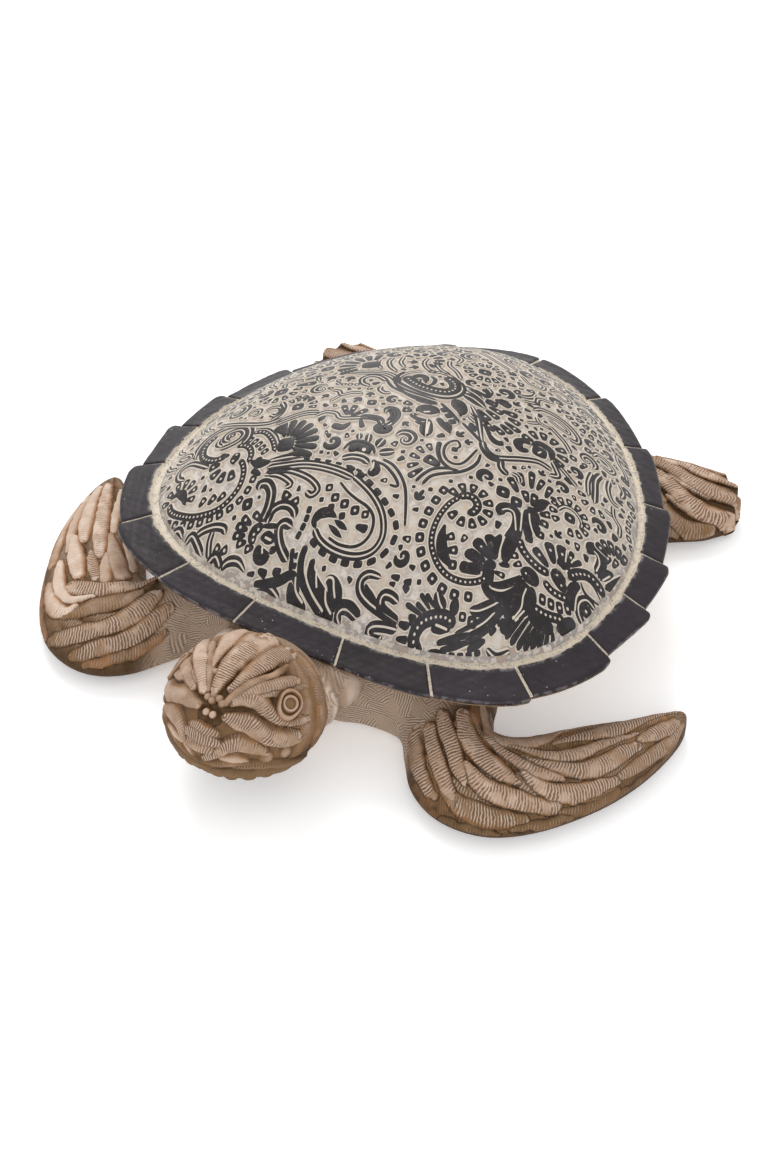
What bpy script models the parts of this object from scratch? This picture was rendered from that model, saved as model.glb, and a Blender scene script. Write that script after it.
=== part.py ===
"""A sea turtle figurine, cast in one piece of resin, standing on its belly and flippers.

The origin is on the ground under the middle of the turtle. The head looks along -Y and +Z is up.
Lengths are in metres. The carapace, body, head and limbs are pulled to shape from primitives and
fused into one solid, as the casting is.
"""

import math

import bmesh
import bpy
import numpy as np
from mathutils import Vector

# Driving sizes of the carapace, seen from above
SHELL_WIDTH = 0.232          # between the joints at its widest, without the slates' corners
SHELL_FRONT = 0.091          # from the centre of the carapace to its front edge
SHELL_REAR = 0.130           # from the centre of the carapace to its rear edge
SHELL_CENTRE_Y = 0.011       # puts the snout and the rear edge at equal distances from the origin
RIM_HEIGHT = 0.043           # the rim's outer edge above the ground
RIM_BAND = 0.0135            # width of the ring of slates round the dome, with the channel
RIM_RISE = 0.004             # how much higher the ring is at the dome than at its outer edge
RIM_THICKNESS = 0.0042
RIM_BEVEL = 0.0013           # the rounding of the slates' upper outer edges
DOME_RISE = 0.046            # the top of the dome above its own foot
DOME_TOP_SHIFT = 0.008       # the top lies this far behind the carapace's centre
GROUT_WIDTH = 0.0026         # the channel between dome and slates
GROUT_DEPTH = 0.0011
JOINT_WIDTH = 0.0016         # the joints between slates
CORNER_REACH = 0.0046        # how far the slate with the boldest rear corner stands out there
JOINT_DEPTH = 0.0010

# Driving sizes of the body and limbs
BODY_INSET = 0.023           # how far the belly's wall stands inside the carapace's edge
BELLY_ROUNDING = 0.0022      # the height over which the belly's wall turns into its flat underside
FLIPPER_SPAN = 0.298         # from one front flipper's outer edge to the other's
FLIPPER_EDGE = 0.0075        # height of the flippers' rounded edges above the ground
FLIPPER_LIFT = 0.0004        # the flippers clear the ground by this, so that the belly carries the turtle
RIGHT_REACH = 0.007          # how much further forward the right front flipper's elbow is set
RIGHT_WIDENING = 0.009       # how much nearer the right front flipper comes to the carapace
LOCK_DEPTH = 0.0021          # how far the carved locks stand out of the limbs
RIB_DEPTH = 0.0022           # how far the rear flippers' ribs stand out
SCALLOP_DEPTH = 0.0028       # how far the ribs' ends stand out of the rear flippers' edge
FAN_BULGE = 0.008            # how far the rear flippers' edge bows outwards

# Driving sizes of the head
HEAD_WIDTH = 0.064
HEAD_LENGTH = 0.066
HEAD_DEPTH = 0.048           # from crown to chin, without the carving
HEAD_REACH = 0.026           # from the carapace's front edge forward to the head's centre
CHIN_HEIGHT = 0.0065
NECK_WIDTH = 0.072           # where it meets the body
NECK_LENGTH = 0.065          # from inside the head to its end under the carapace
CROWN_DEPTH = 0.0026         # how far the crown's carved locks stand out
BAND_DEPTH = 0.0018          # how far the wavy bands on the cheeks stand out
BEAK_DEPTH = 0.0024
MOUTH_DEPTH = 0.0012
COLLAR_DEPTH = 0.0011        # the crease where the head meets the neck
EYE_RADIUS = 0.0046          # the middle of the raised ring round each eye
EYE_RING = 0.0015            # the ring's own radius
EYE_RISE = 0.003             # the ring's top above the socket
TAIL_LENGTH = 0.030
TAIL_WIDTH = 0.022           # at its root
TAIL_HEIGHT = 0.016          # its middle above the ground

# The limbs' outlines below are drawn on grids of this many steps, which stretch to the driving sizes
FRONT_GRID = (298, 91)       # steps over the front flippers' span, and from the shell's middle to its front
REAR_GRID = (232, 130)       # steps over the shell's width, and from its middle to its rear

# Where the joints between slates lie, in degrees round the carapace from its right side to its rear
JOINT_DEGREES = (-75.0, -52.4, -33.4, -14.6, 0.8, 15.2, 32.8, 53.6, 72.2, 90.0)
# How far each slate stands out at its rear corner, as shares of the boldest, front slate first
CORNER_SHARES = (0.0, 0.217, 0.565, 0.913, 1.0, 0.826, 0.652, 0.609, 0.522, 0.261)
CORNER_START = 0.86          # the share of a slate's length where its corner begins to round off

# The crown's locks: the bearing of each from straight back, its half width and its length, in degrees
CROWN_LOCKS = ((-72, 10, 50), (-50, 11, 60), (-28, 10, 66), (-5, 12, 66), (20, 12.5, 70), (41, 8, 44))
KNOT_LIFT = 52.0             # the locks fan back from a knot this far above level
# Wavy bands on each cheek, as (turn from straight ahead, lift above level) in degrees
UPPER_BAND = ((18, 43), (36, 47), (53, 34), (74, 25))
LOWER_BAND = ((8, 13), (24, 26), (38, 28), (50, 16), (62, 11))
MOUTH_LINE = ((0, -4), (16, -2), (30, 5), (46, 5), (68, -4), (92, -10))
EYE_PLACE = (80, 43)

RESIN_COLOUR = (0.47, 0.36, 0.27, 1.0)
RESIN_ROUGHNESS = 0.72
HARD_EDGE = math.radians(38)


def smooth_curve(points, at):
    """A curve through evenly spaced points (Catmull-Rom), read at shares 0 to 1 of its length."""
    points = np.asarray(points, float)
    last = len(points) - 1
    place = np.clip(np.atleast_1d(at), 0.0, 1.0) * last
    low = np.minimum(place.astype(int), last - 1)
    u = place - low
    if points.ndim > 1:
        u = u[:, None]
    a, b = points[low], points[low + 1]
    before = points[np.maximum(low - 1, 0)]
    after = points[np.minimum(low + 2, last)]
    slope_a, slope_b = (b - before) / 2, (after - a) / 2
    return (
        a * (1 + 2 * u) * (1 - u) ** 2
        + slope_a * u * (1 - u) ** 2
        + b * u ** 2 * (3 - 2 * u)
        + slope_b * u ** 2 * (u - 1)
    )


def bump(x, centre, half_width):
    """1 at the centre, falling as a smooth hump to 0 at half_width from it."""
    t = np.clip(np.abs(np.asarray(x, float) - centre) / half_width, 0.0, 1.0)
    return (1 - t * t) ** 2


def ring_solid(name, rings, segments, place):
    """A sphere pulled to shape: place(ring, segment) gives the point, from ring 0, one pole, to the last."""
    bm = bmesh.new()
    bmesh.ops.create_uvsphere(bm, u_segments=segments, v_segments=rings, radius=1.0)
    for vertex in bm.verts:
        x, y, z = vertex.co
        ring = round(math.acos(max(-1.0, min(1.0, z))) / math.pi * rings)
        segment = round(math.atan2(y, x) / math.tau * segments) % segments
        if ring in (0, rings):
            segment = 0
        vertex.co = place(ring, segment)
    bmesh.ops.triangulate(bm, faces=bm.faces[:])
    bmesh.ops.recalc_face_normals(bm, faces=bm.faces[:])
    return finished(bm, name)


def finished(bm, name):
    """The object made of a bmesh, shaded smooth over all but its hard edges."""
    mesh = bpy.data.meshes.new(name)
    bm.to_mesh(mesh)
    bm.free()
    mesh.shade_smooth()
    mesh.set_sharp_from_angle(angle=HARD_EDGE)
    return bpy.data.objects.new(name, mesh)


# The carapace

def outline(theta, half_width, front, rear, front_power, rear_power):
    """A plan outline round the carapace's centre, fuller in front than behind."""
    c, s = np.cos(theta), np.sin(theta)
    depth = np.where(s > 0, rear, front)
    power = np.where(s > 0, rear_power, front_power)
    radius = (np.abs(c / half_width) ** power + np.abs(s / depth) ** power) ** (-1 / power)
    return np.stack([radius * c, radius * s + SHELL_CENTRE_Y], -1)


def rim_outline(theta):
    """The line that the slates' outer edges follow, without their corners."""
    return outline(theta, SHELL_WIDTH / 2, SHELL_FRONT, SHELL_REAR, 3.0, 1.72)


def dome_outline(theta):
    """The foot of the dome, a slate's width inside the rim."""
    return outline(theta, SHELL_WIDTH / 2 - RIM_BAND, SHELL_FRONT - 1.07 * RIM_BAND,
                   SHELL_REAR - 1.07 * RIM_BAND, 2.8, 1.78)


def joint_angles():
    """The joints all the way round, in radians, starting at the front slate's right end."""
    right = list(JOINT_DEGREES)
    left = [180.0 - degrees for degrees in reversed(right[:-1])]
    return np.radians(right + left)


def corner_sizes():
    """How far each slate's rear corner stands out, in the order of joint_angles()."""
    right = list(CORNER_SHARES[1:])
    return np.array(right + right[::-1] + [CORNER_SHARES[0]]) * CORNER_REACH


def slate_angles():
    """Angles round the rim: each joint's bottom and edges, and points between, with each point's slate."""
    joints = joint_angles()
    half_joint = JOINT_WIDTH / SHELL_WIDTH
    points = []
    for i, start in enumerate(joints):
        end = joints[(i + 1) % len(joints)] + (math.tau if i + 1 == len(joints) else 0.0)
        length = end - start - 2 * half_joint
        points.append((start, i, None))
        for share in (0.0, 0.45, CORNER_START, 1.0):
            points.append((start + half_joint + length * share, i, share))
    return points


def corner_out(slate, share):
    """How far a slate's outer edge stands out at a share of its length from its front end."""
    mirrored = slate >= len(JOINT_DEGREES) - 1
    towards_rear = 1 - share if mirrored else share
    rounded = min(1.0, (1 - towards_rear) / (1 - CORNER_START)) ** 0.5
    return corner_sizes()[slate] * towards_rear ** 1.3 * (0.45 + 0.55 * rounded)


def dome_point(theta, share):
    """A point of the dome, from share 0 at its top to 1 at its foot."""
    top = np.array([0.0, SHELL_CENTRE_Y + DOME_TOP_SHIFT])
    plan = top + (dome_outline(theta) - top) * share
    height = RIM_HEIGHT + RIM_RISE + DOME_RISE * (1 - share ** 2.2) ** 0.86
    return (*plan, height)


def build_carapace():
    points = slate_angles()
    dome_shares = (0.16, 0.32, 0.47, 0.61, 0.74, 0.85, 0.94, 1.0)
    rings = len(dome_shares) + 8

    def rim_point(theta, slate, share, inward, drop):
        """A point inward from the outer edge by a share of the band, and below it by drop."""
        foot = dome_outline(np.array([theta]))[0]
        edge = rim_outline(np.array([theta]))[0]
        if share is not None:
            away = (edge - foot) / np.linalg.norm(edge - foot)
            edge = edge + away * corner_out(slate, share)
        inner = foot + (edge - foot) * (GROUT_WIDTH / RIM_BAND)
        plan = edge + (inner - edge) * inward
        height = RIM_HEIGHT + RIM_RISE * inward ** 1.2 - drop
        if share is None:
            height -= JOINT_DEPTH
            plan = plan + (foot - plan) * (JOINT_DEPTH / RIM_BAND if inward < 0.5 else 0.0)
        return (*plan, height)

    def place(ring, segment):
        theta, slate, share = points[segment]
        if ring == 0:
            return dome_point(theta, 0.0)
        if ring <= len(dome_shares):
            return dome_point(theta, dome_shares[ring - 1])
        step = ring - len(dome_shares)
        if step == 1:
            foot = np.array(dome_point(theta, 1.0))
            edge = np.array(rim_point(theta, slate, None, 1.0, 0.0))
            middle = (foot + edge) / 2
            return (middle[0], middle[1], foot[2] - GROUT_DEPTH)
        if step == 2:
            return rim_point(theta, slate, share, 1.0, 0.0)
        if step == 3:
            return rim_point(theta, slate, share, 0.5, 0.0)
        if step == 4:
            return rim_point(theta, slate, share, RIM_BEVEL / RIM_BAND, 0.3 * RIM_BEVEL)
        if step == 5:
            return rim_point(theta, slate, share, 0.0, 1.3 * RIM_BEVEL)
        if step == 6:
            return rim_point(theta, slate, share, 0.05, RIM_THICKNESS)
        if step == 7:
            return rim_point(theta, slate, None, 1.25, 2.4 * RIM_THICKNESS)
        return (0.0, SHELL_CENTRE_Y, RIM_HEIGHT - 3 * RIM_THICKNESS)

    return ring_solid("carapace", rings, len(points), place)


# The body under the carapace

def under_rim():
    """The height of the rim's underside at its outer edge."""
    return RIM_HEIGHT - RIM_THICKNESS


def body_profile():
    """(share of the wall's plan outline, height) from the flat belly up to the carapace."""
    top = under_rim()
    return ((0.86, 0.0), (0.955, BELLY_ROUNDING), (1.0, 0.3 * top), (1.0, 0.62 * top), (1.03, top),
            (0.9, 1.03 * top))


def build_body():
    segments = 36
    profile = body_profile()
    centre = np.array([0.0, SHELL_CENTRE_Y])

    def place(ring, segment):
        if ring == 0:
            return (0.0, SHELL_CENTRE_Y, RIM_HEIGHT)
        if ring == len(profile) + 1:
            return (0.0, SHELL_CENTRE_Y, 0.0)
        theta = np.array([math.tau * segment / segments])
        wall = outline(theta, SHELL_WIDTH / 2 - BODY_INSET, SHELL_FRONT - BODY_INSET,
                       SHELL_REAR - BODY_INSET, 2.4, 2.0)[0]
        share, height = profile[len(profile) - ring]
        return (*(centre + (wall - centre) * share), height)

    return ring_solid("body", len(profile) + 1, segments, place)


# The limbs: each is spanned between a leading and a trailing edge, seen from above

def stretched(points, grid, wanted):
    """An outline drawn in grid steps, in metres at the wanted size."""
    return np.array(points, float) * (np.array(wanted) / np.array(grid))


FRONT_SIZES = (FRONT_GRID, (FLIPPER_SPAN, SHELL_FRONT))
FRONT_LEADING = stretched((
    (0, -88), (20, -88), (33, -83.5), (49, -83), (58, -93), (67, -104), (79, -111), (93, -112.5),
    (107, -108.5), (120, -98), (131, -83.5), (139.5, -68), (145.5, -51), (148.5, -34),
    (149, -19)), *FRONT_SIZES)
FRONT_TRAILING = stretched((
    (0, -10), (24, -10), (50, -17), (67, -31), (75, -46), (79, -57), (84, -64), (92, -62.5),
    (101, -55), (110, -45), (119, -36), (128, -28.5), (134, -22.5), (140, -17),
    (144, -11)), *FRONT_SIZES)
REAR_SIZES = (REAR_GRID, (SHELL_WIDTH, SHELL_REAR))
REAR_LEADING = stretched(((52, 40), (70, 60), (84, 76), (96, 85), (105, 92), (110, 101)), *REAR_SIZES)
REAR_TRAILING = stretched(((16, 84), (34, 104), (50, 117), (63, 124), (77, 127.5), (90, 128.5)), *REAR_SIZES)
# The limbs' tops from root to tip, as shares of the height under the rim
FRONT_TOP = (0.99, 0.99, 0.97, 0.88, 0.77, 0.70, 0.63, 0.58, 0.555, 0.53, 0.50, 0.475, 0.44, 0.39, 0.31)
REAR_TOP = (0.88, 0.72, 0.59, 0.50, 0.44, 0.39)
TIP_START = 0.9              # where a front flipper's edges turn in to its tip
FAN_START = 0.95             # where a rear flipper's top turns down over its outer edge
FAN_THICKNESS = 0.0012       # of the rear flippers' outer edge
FRONT_CREST = -0.25          # the front limbs' tops are highest a little behind their middle
REAR_CREST = -0.6            # and the rear ones' near their trailing edge


def span_plan(leading, trailing, along, across, taper=1.0, widening=0.0):
    """Where a share of the way across lies in plan: -1 at the trailing edge, 1 at the leading edge."""
    front = smooth_curve(leading, along)[0]
    back = smooth_curve(trailing, along)[0]
    back = back + (back - front) / np.linalg.norm(back - front) * widening
    middle, half = (front + back) / 2, (front - back) / 2 * taper
    return middle + half * across + (0.0, SHELL_CENTRE_Y)


def limb_height(across, crown, under, roundness, fullness, crest):
    """Height of a limb's top or underside above the ground, rounded over both edges."""
    edge = min(FLIPPER_EDGE, crown)
    if under:
        return FLIPPER_LIFT + edge * (1 - (1 - abs(across) ** 4) ** 0.5)
    side = (across - crest) / (1 - crest if across > crest else 1 + crest)
    return edge + (crown - edge) * max(0.0, 1 - abs(side) ** fullness) ** 0.7 * roundness


def front_limb_point(along, across, under, side):
    tip = max(0.0, (along - TIP_START) / (1 - TIP_START))
    taper = math.sqrt(max(0.0, 1 - tip * tip))
    widening = RIGHT_WIDENING * float(bump(along, 0.62, 0.45)) if side < 0 else 0.0
    plan = span_plan(FRONT_LEADING, FRONT_TRAILING, along, across, taper, widening)
    if side < 0:
        plan[1] -= RIGHT_REACH * float(bump(along, 0.45, 0.32))
    fullness = 2.2 + 4.5 * float(bump(along, 0.0, 0.36))
    crown = smooth_curve(FRONT_TOP, along)[0] * under_rim()
    return np.array([*plan, limb_height(across, crown, under, 0.3 + 0.7 * taper, fullness, FRONT_CREST)])


def fan_direction():
    """The way the rear flippers point, in plan."""
    tip, waist = (span_plan(REAR_LEADING, REAR_TRAILING, along, 0.0) for along in (1.0, 0.8))
    return (tip - waist) / np.linalg.norm(tip - waist)


def rear_limb_point(along, across, under, side):
    """The rear flippers end in a broad bowed edge, where top and underside close at a mid height."""
    spread = min(1.0, along / FAN_START)
    closing = min(1.0, max(0.0, (along - FAN_START) / (1 - FAN_START)))
    plan = span_plan(REAR_LEADING, REAR_TRAILING, spread, across)
    plan = plan + fan_direction() * (FAN_BULGE * (1 - across ** 2) * spread ** 3 + FAN_THICKNESS * closing)
    crown = smooth_curve(REAR_TOP, spread)[0] * under_rim()
    height = limb_height(across, crown, under, 1.0, 2.4, REAR_CREST)
    edge = FLIPPER_EDGE / 2 + (-0.5 if under else 0.5) * FAN_THICKNESS
    return np.array([*plan, height + (edge - height) * closing ** 1.5])


def section_shares(ridges):
    """Across a limb's top: its edges, and the feet and crests of its carved ridges, as (share, ridge).

    The crests lean towards the leading edge. The ridge is None for a foot or an edge.
    """
    outermost = 0.97
    marks = []
    for i in range(2 * ridges + 1):
        crest = i % 2 == 1
        lean = 0.2 / ridges if crest else 0.0
        marks.append((outermost * (1 - i / ridges) + lean, i // 2 if crest else None))
    return [(1.0, None)] + marks + [(-1.0, None)]


def build_limb(name, side, point_at, ridges, stations, carve):
    """A limb on one side. carve(along, ridge) gives the offset of a ridge's crest from the plain form."""
    upper = section_shares(ridges)
    lower = (-0.93, -0.7, 0.0, 0.7, 0.93)
    last = len(stations) - 1

    def place(ring, segment):
        along = stations[ring]
        if ring in (0, last):
            point = point_at(along, 0.0, ring == 0, side)
            if ring == last:
                point[2] = FLIPPER_EDGE / 2
        elif segment < len(upper):
            across, ridge = upper[segment]
            point = point_at(along, across, False, side)
            if ridge is not None:
                point = point + carve(along, ridge)
        else:
            point = point_at(along, lower[segment - len(upper)], True, side)
        return (side * point[0], point[1], point[2])

    return ring_solid(name, last, len(upper) + len(lower), place)


def lock_offset(along, ridge):
    """The front flippers' locks: long leaves laid end to end, staggered from ridge to ridge."""
    leaf = 0.36
    place = (along / leaf + 0.37 * ridge) % 1.0
    root = min(1.0, max(0.0, (along - 0.2) / 0.14))
    tip = min(1.0, (1 - along) / 0.1)
    swell = 0.55 + 0.45 * math.sin(math.pi * min(1.0, place * 1.1)) ** 0.6
    return np.array([0.0, 0.0, LOCK_DEPTH * root * tip * swell])


def rib_offset(along, ridge):
    """The rear flippers' ribs, which grow towards the edge and end in scallops."""
    grown = min(1.0, along / 0.4)
    scallop = SCALLOP_DEPTH * min(1.0, max(0.0, (along - 0.7) / 0.25))
    rise = RIB_DEPTH * grown * min(1.0, (1 - along) / (1 - FAN_START))
    return np.array([*(fan_direction() * scallop), rise])


def build_front_limb(side):
    stations = np.concatenate([np.linspace(0.0, 0.27, 4), np.linspace(0.32, 0.92, 17), (0.955, 0.983, 1.0)])
    name = "front_limb_left" if side > 0 else "front_limb_right"
    return build_limb(name, side, front_limb_point, 7, stations, lock_offset)


def build_rear_limb(side):
    stations = np.concatenate([np.linspace(0.0, 0.88, 9), (0.95, 0.985, 1.0)])
    name = "rear_limb_left" if side > 0 else "rear_limb_right"
    return build_limb(name, side, rear_limb_point, 4, stations, rib_offset)


# The head

def head_centre():
    return np.array([0.0, SHELL_CENTRE_Y - SHELL_FRONT - HEAD_REACH, CHIN_HEIGHT + HEAD_DEPTH / 2])


def head_radii():
    return np.array([HEAD_WIDTH, HEAD_LENGTH, HEAD_DEPTH]) / 2


def head_direction(turn, lift):
    """A unit direction: turn from straight ahead towards the left side, lift above level, in radians."""
    return np.array([math.sin(turn) * math.cos(lift), -math.cos(turn) * math.cos(lift), math.sin(lift)])


def head_point(direction, proud=0.0):
    return head_centre() + direction * (head_radii() + proud)


def knot_axes():
    """The direction of the knot that the crown's locks grow from, and straight back over the crown there."""
    lift = math.radians(KNOT_LIFT)
    return head_direction(0.0, lift), np.array([0.0, math.sin(lift), math.cos(lift)])


def crown_relief(reach, bearing):
    """The locks, at an angle from the knot and a bearing from straight back, in degrees."""
    height = 0.0
    rise = min(1.0, max(0.0, (reach - 6) / 12))
    for middle, half_width, length in CROWN_LOCKS:
        end = min(1.0, max(0.0, (length - reach) / 7)) ** 0.5
        height = max(height, float(bump(bearing, middle, half_width * 1.25)) ** 0.6 * rise * end)
    return CROWN_DEPTH * height


def path_relief(turn, lift, path, half_width):
    """1 on a line drawn on both sides of the head, falling to 0 at half_width from it, in degrees."""
    best = 0.0
    for start, end in zip(path, path[1:]):
        start, end = np.array(start, float), np.array(end, float)
        run = end - start
        here = np.array([abs(turn), lift])
        share = min(1.0, max(0.0, float((here - start) @ run / (run @ run))))
        gap = here - (start + run * share)
        gap[0] *= math.cos(math.radians(lift))
        best = max(best, float(bump(np.hypot(*gap), 0.0, half_width)))
    return best


def face_relief(direction):
    """Bands, beak and mouth, each on both sides, and the crease of the collar."""
    lift = math.degrees(math.asin(max(-1.0, min(1.0, direction[2]))))
    turn = math.degrees(math.atan2(direction[0], -direction[1]))
    relief = BAND_DEPTH * path_relief(turn, lift, UPPER_BAND, 9)
    relief += BAND_DEPTH * path_relief(turn, lift, LOWER_BAND, 8)
    relief += BEAK_DEPTH * float(bump(turn, 0, 16)) * float(bump(lift, 22, 26))
    relief -= MOUTH_DEPTH * path_relief(turn, lift, MOUTH_LINE, 5)
    from_front = math.degrees(math.acos(max(-1.0, min(1.0, -direction[1])))) - 0.35 * lift
    return relief - COLLAR_DEPTH * float(bump(from_front, 103, 8))


def build_head():
    """A ball whose lines run back from the knot, so that each lock has a line on its crest and its feet."""
    bearings = sorted({b for middle, half, _ in CROWN_LOCKS for b in (middle - half, middle, middle + half)})
    bearings += list(np.linspace(bearings[-1] + 7, bearings[0] + 360 - 7, 33))
    reaches = list(np.linspace(7, 84, 15)) + list(np.linspace(92, 172, 13))
    knot, back = knot_axes()
    left = np.cross(back, knot)

    def place(ring, segment):
        reach = (0.0, *reaches, 180.0)[ring]
        bearing = bearings[segment]
        a, b = math.radians(reach), math.radians(bearing)
        direction = knot * math.cos(a) + (back * math.cos(b) + left * math.sin(b)) * math.sin(a)
        wrapped = (bearing + 180) % 360 - 180
        return head_point(direction, crown_relief(reach, wrapped) + face_relief(direction))

    return ring_solid("head", len(reaches) + 1, len(bearings), place)


def build_eye(side):
    """A raised ring with the eyeball sunk in it, its foot inside the head."""
    profile = ((0.0, 0.4), (0.5, 0.27), (0.78, 0.87), (0.93, 1.0), (1.0, 0.0), (0.9, -1.0), (0.6, -1.0),
               (0.3, -1.0), (0.0, -1.0))
    rings = len(profile) - 1
    bm = bmesh.new()
    bmesh.ops.create_uvsphere(bm, u_segments=14, v_segments=rings, radius=1.0)
    for vertex in bm.verts:
        share, height = profile[round(math.acos(max(-1.0, min(1.0, vertex.co.z))) / math.pi * rings)]
        flat = max(1e-6, math.hypot(vertex.co.x, vertex.co.y))
        reach = share * (EYE_RADIUS + EYE_RING) / flat
        vertex.co = (vertex.co.x * reach, vertex.co.y * reach, height * EYE_RISE)
    obj = finished(bm, "eye_left" if side > 0 else "eye_right")
    turn, lift = (math.radians(angle) for angle in EYE_PLACE)
    direction = head_direction(side * turn, lift)
    outwards = Vector(direction / head_radii()).normalized()
    obj.location = head_point(direction, -0.2 * EYE_RISE)
    obj.rotation_mode = "QUATERNION"
    obj.rotation_quaternion = outwards.to_track_quat("Z", "Y")
    return obj


def build_neck():
    """A short neck from inside the head to under the carapace, a little slimmer at the head."""
    start = head_centre()[1]
    axis_height = head_centre()[2]
    stations = (0.0, 0.1, 0.4, 0.7, 1.0)
    last = len(stations) + 1
    segments = 24

    def place(ring, segment):
        if ring in (0, last):
            return (0.0, start + (NECK_LENGTH if ring == last else 0.0), axis_height)
        share = stations[ring - 1]
        radius = NECK_WIDTH / 2 * (0.8 + 0.2 * share)
        spin = math.tau * segment / segments
        above = under_rim() - axis_height + 0.1 * HEAD_DEPTH * (1 - share)
        height = math.sin(spin) * (above if math.sin(spin) > 0 else 0.75 * radius)
        return (radius * math.cos(spin), start + NECK_LENGTH * share, axis_height + height)

    return ring_solid("neck", last, segments, place)


def build_tail():
    """A short tail tucked under the rear edge."""
    root = SHELL_CENTRE_Y + SHELL_REAR - 1.3 * BODY_INSET
    bm = bmesh.new()
    bmesh.ops.create_cone(bm, cap_ends=True, segments=12, radius1=TAIL_WIDTH / 2, radius2=0.1 * TAIL_WIDTH,
                          depth=TAIL_LENGTH)
    obj = finished(bm, "tail")
    obj.rotation_euler = (math.radians(-90), 0.0, 0.0)
    obj.location = (0.0, root + TAIL_LENGTH / 2, TAIL_HEIGHT)
    return obj


# Assembly

def clear_scene():
    for obj in list(bpy.data.objects):
        bpy.data.objects.remove(obj)


def make_collection(name):
    collection = bpy.data.collections.new(name)
    bpy.context.scene.collection.children.link(collection)
    return collection


def resin():
    material = bpy.data.materials.new("cast_resin")
    material.use_nodes = True
    shader = material.node_tree.nodes["Principled BSDF"]
    shader.inputs["Base Color"].default_value = RESIN_COLOUR
    shader.inputs["Roughness"].default_value = RESIN_ROUGHNESS
    shader.inputs["Metallic"].default_value = 0.0
    return material


def main():
    clear_scene()
    figure = make_collection("sea_turtle_figurine")
    forms = make_collection("forms_to_fuse")

    turtle = build_carapace()
    turtle.name = "sea_turtle"
    turtle.data.materials.append(resin())
    figure.objects.link(turtle)

    pieces = [build_body(), build_neck(), build_head(), build_tail()]
    for side in (1, -1):
        pieces += [build_front_limb(side), build_rear_limb(side), build_eye(side)]
    for piece in pieces:
        forms.objects.link(piece)
        piece.hide_render = True
        piece.display_type = "WIRE"
        fuse = turtle.modifiers.new("fuse_" + piece.name, "BOOLEAN")
        fuse.operation = "UNION"
        fuse.solver = "EXACT"
        fuse.object = piece
    forms.hide_render = True


main()
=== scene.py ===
import math

import bpy
import numpy as np
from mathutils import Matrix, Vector


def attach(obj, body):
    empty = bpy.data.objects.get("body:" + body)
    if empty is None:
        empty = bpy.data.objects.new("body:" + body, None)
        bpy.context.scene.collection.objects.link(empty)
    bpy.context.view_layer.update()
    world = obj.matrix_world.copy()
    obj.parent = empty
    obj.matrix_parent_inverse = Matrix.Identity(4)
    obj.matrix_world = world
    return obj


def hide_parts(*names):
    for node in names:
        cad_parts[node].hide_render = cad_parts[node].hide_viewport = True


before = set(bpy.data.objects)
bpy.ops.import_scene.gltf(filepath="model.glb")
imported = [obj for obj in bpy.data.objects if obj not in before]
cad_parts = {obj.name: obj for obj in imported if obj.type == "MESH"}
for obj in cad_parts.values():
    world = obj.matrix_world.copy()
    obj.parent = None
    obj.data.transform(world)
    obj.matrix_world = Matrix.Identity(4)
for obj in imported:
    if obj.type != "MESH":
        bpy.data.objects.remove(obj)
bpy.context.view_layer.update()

# The finished looks of a cast sea turtle figurine. Lengths are in millimetres until a mesh is made.
# x runs to the turtle's left, y to its rear and z up. Plan points of the shell and limbs are drawn
# about the carapace's centre.

MM = 0.001

# The carapace and the body under it

SHELL_WIDTH = 232.0
SHELL_FRONT = 91.0           # from the carapace's centre
SHELL_REAR = 130.0
SHELL_CENTRE = np.array([0.0, 11.0])
RIM_POWERS = (3.0, 1.72)     # how full the outlines are in front and behind
DOME_POWERS = (2.8, 1.78)
BODY_POWERS = (2.4, 2.0)
RIM_HEIGHT = 43.0            # the slates' outer edge over the ground
RIM_BAND = 13.5              # the ring of slates, with the channel at the dome's foot
RIM_RISE = 4.0               # how far the slates climb to the dome
RIM_THICKNESS = 4.2
UNDER_RIM = RIM_HEIGHT - RIM_THICKNESS
EDGE_INSET = 0.25            # the uneven edges lie this far in from the plain outline
EDGE_SOFTNESS = 0.75         # how far the slates' outer, inner and end edges are rounded down
INNER_SOFTNESS = 0.55
JOINT_SOFTNESS = 0.42
DOME_RISE = 46.0
DOME_TOP = np.array([0.0, 8.0])
GROUND_SINK = 0.95           # the ground lies this far under the dome's outer form
GROUT_WIDTH = 2.6
GROUT_DEPTH = 1.1
JOINT_WIDTH = 1.6
JOINT_DEPTH = 0.6
# Bearings of the joints on the left side, from straight left, with 90 behind; the right side mirrors them
JOINT_DEGREES = (-75.0, -52.4, -33.4, -14.6, 0.8, 15.2, 32.8, 53.6, 72.2, 90.0)
# How far each slate's rear corner stands out, from the front
CORNERS_OUT = (0.0, 1.0, 2.6, 4.2, 4.6, 3.8, 3.0, 2.8, 2.4, 1.2)
CORNER_START = 0.86          # where along a slate its rear corner rounds off
SLATE_BREADTH = 11
SLATE_RADIUS = 125.0         # about the reach of the slates, for the spacing of their points
SLATE_STEP = 0.95
BODY_INSET = 23.0
BELLY_ROUNDING = 2.2
BELLY_SHARE = 0.86           # the share of the body's plan that is flat underneath
# Rows under a slate's edge: drop below the edge, shift inwards, and 1 where they are still slate
SLATE_WALL = ((1.3, 0.0, 1.0), (2.0, 0.12, 1.0), (2.5, 0.3, 0.9), (2.8, 0.75, 0.0), (3.5, 0.7, 0.0),
              (4.2, 1.5, 0.0), (5.2, 4.0, 0.0), (7.6, 9.0, 0.0), (9.6, 15.0, 0.0), (9.9, 21.0, 0.0),
              (9.0, 30.0, 0.0))
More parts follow.
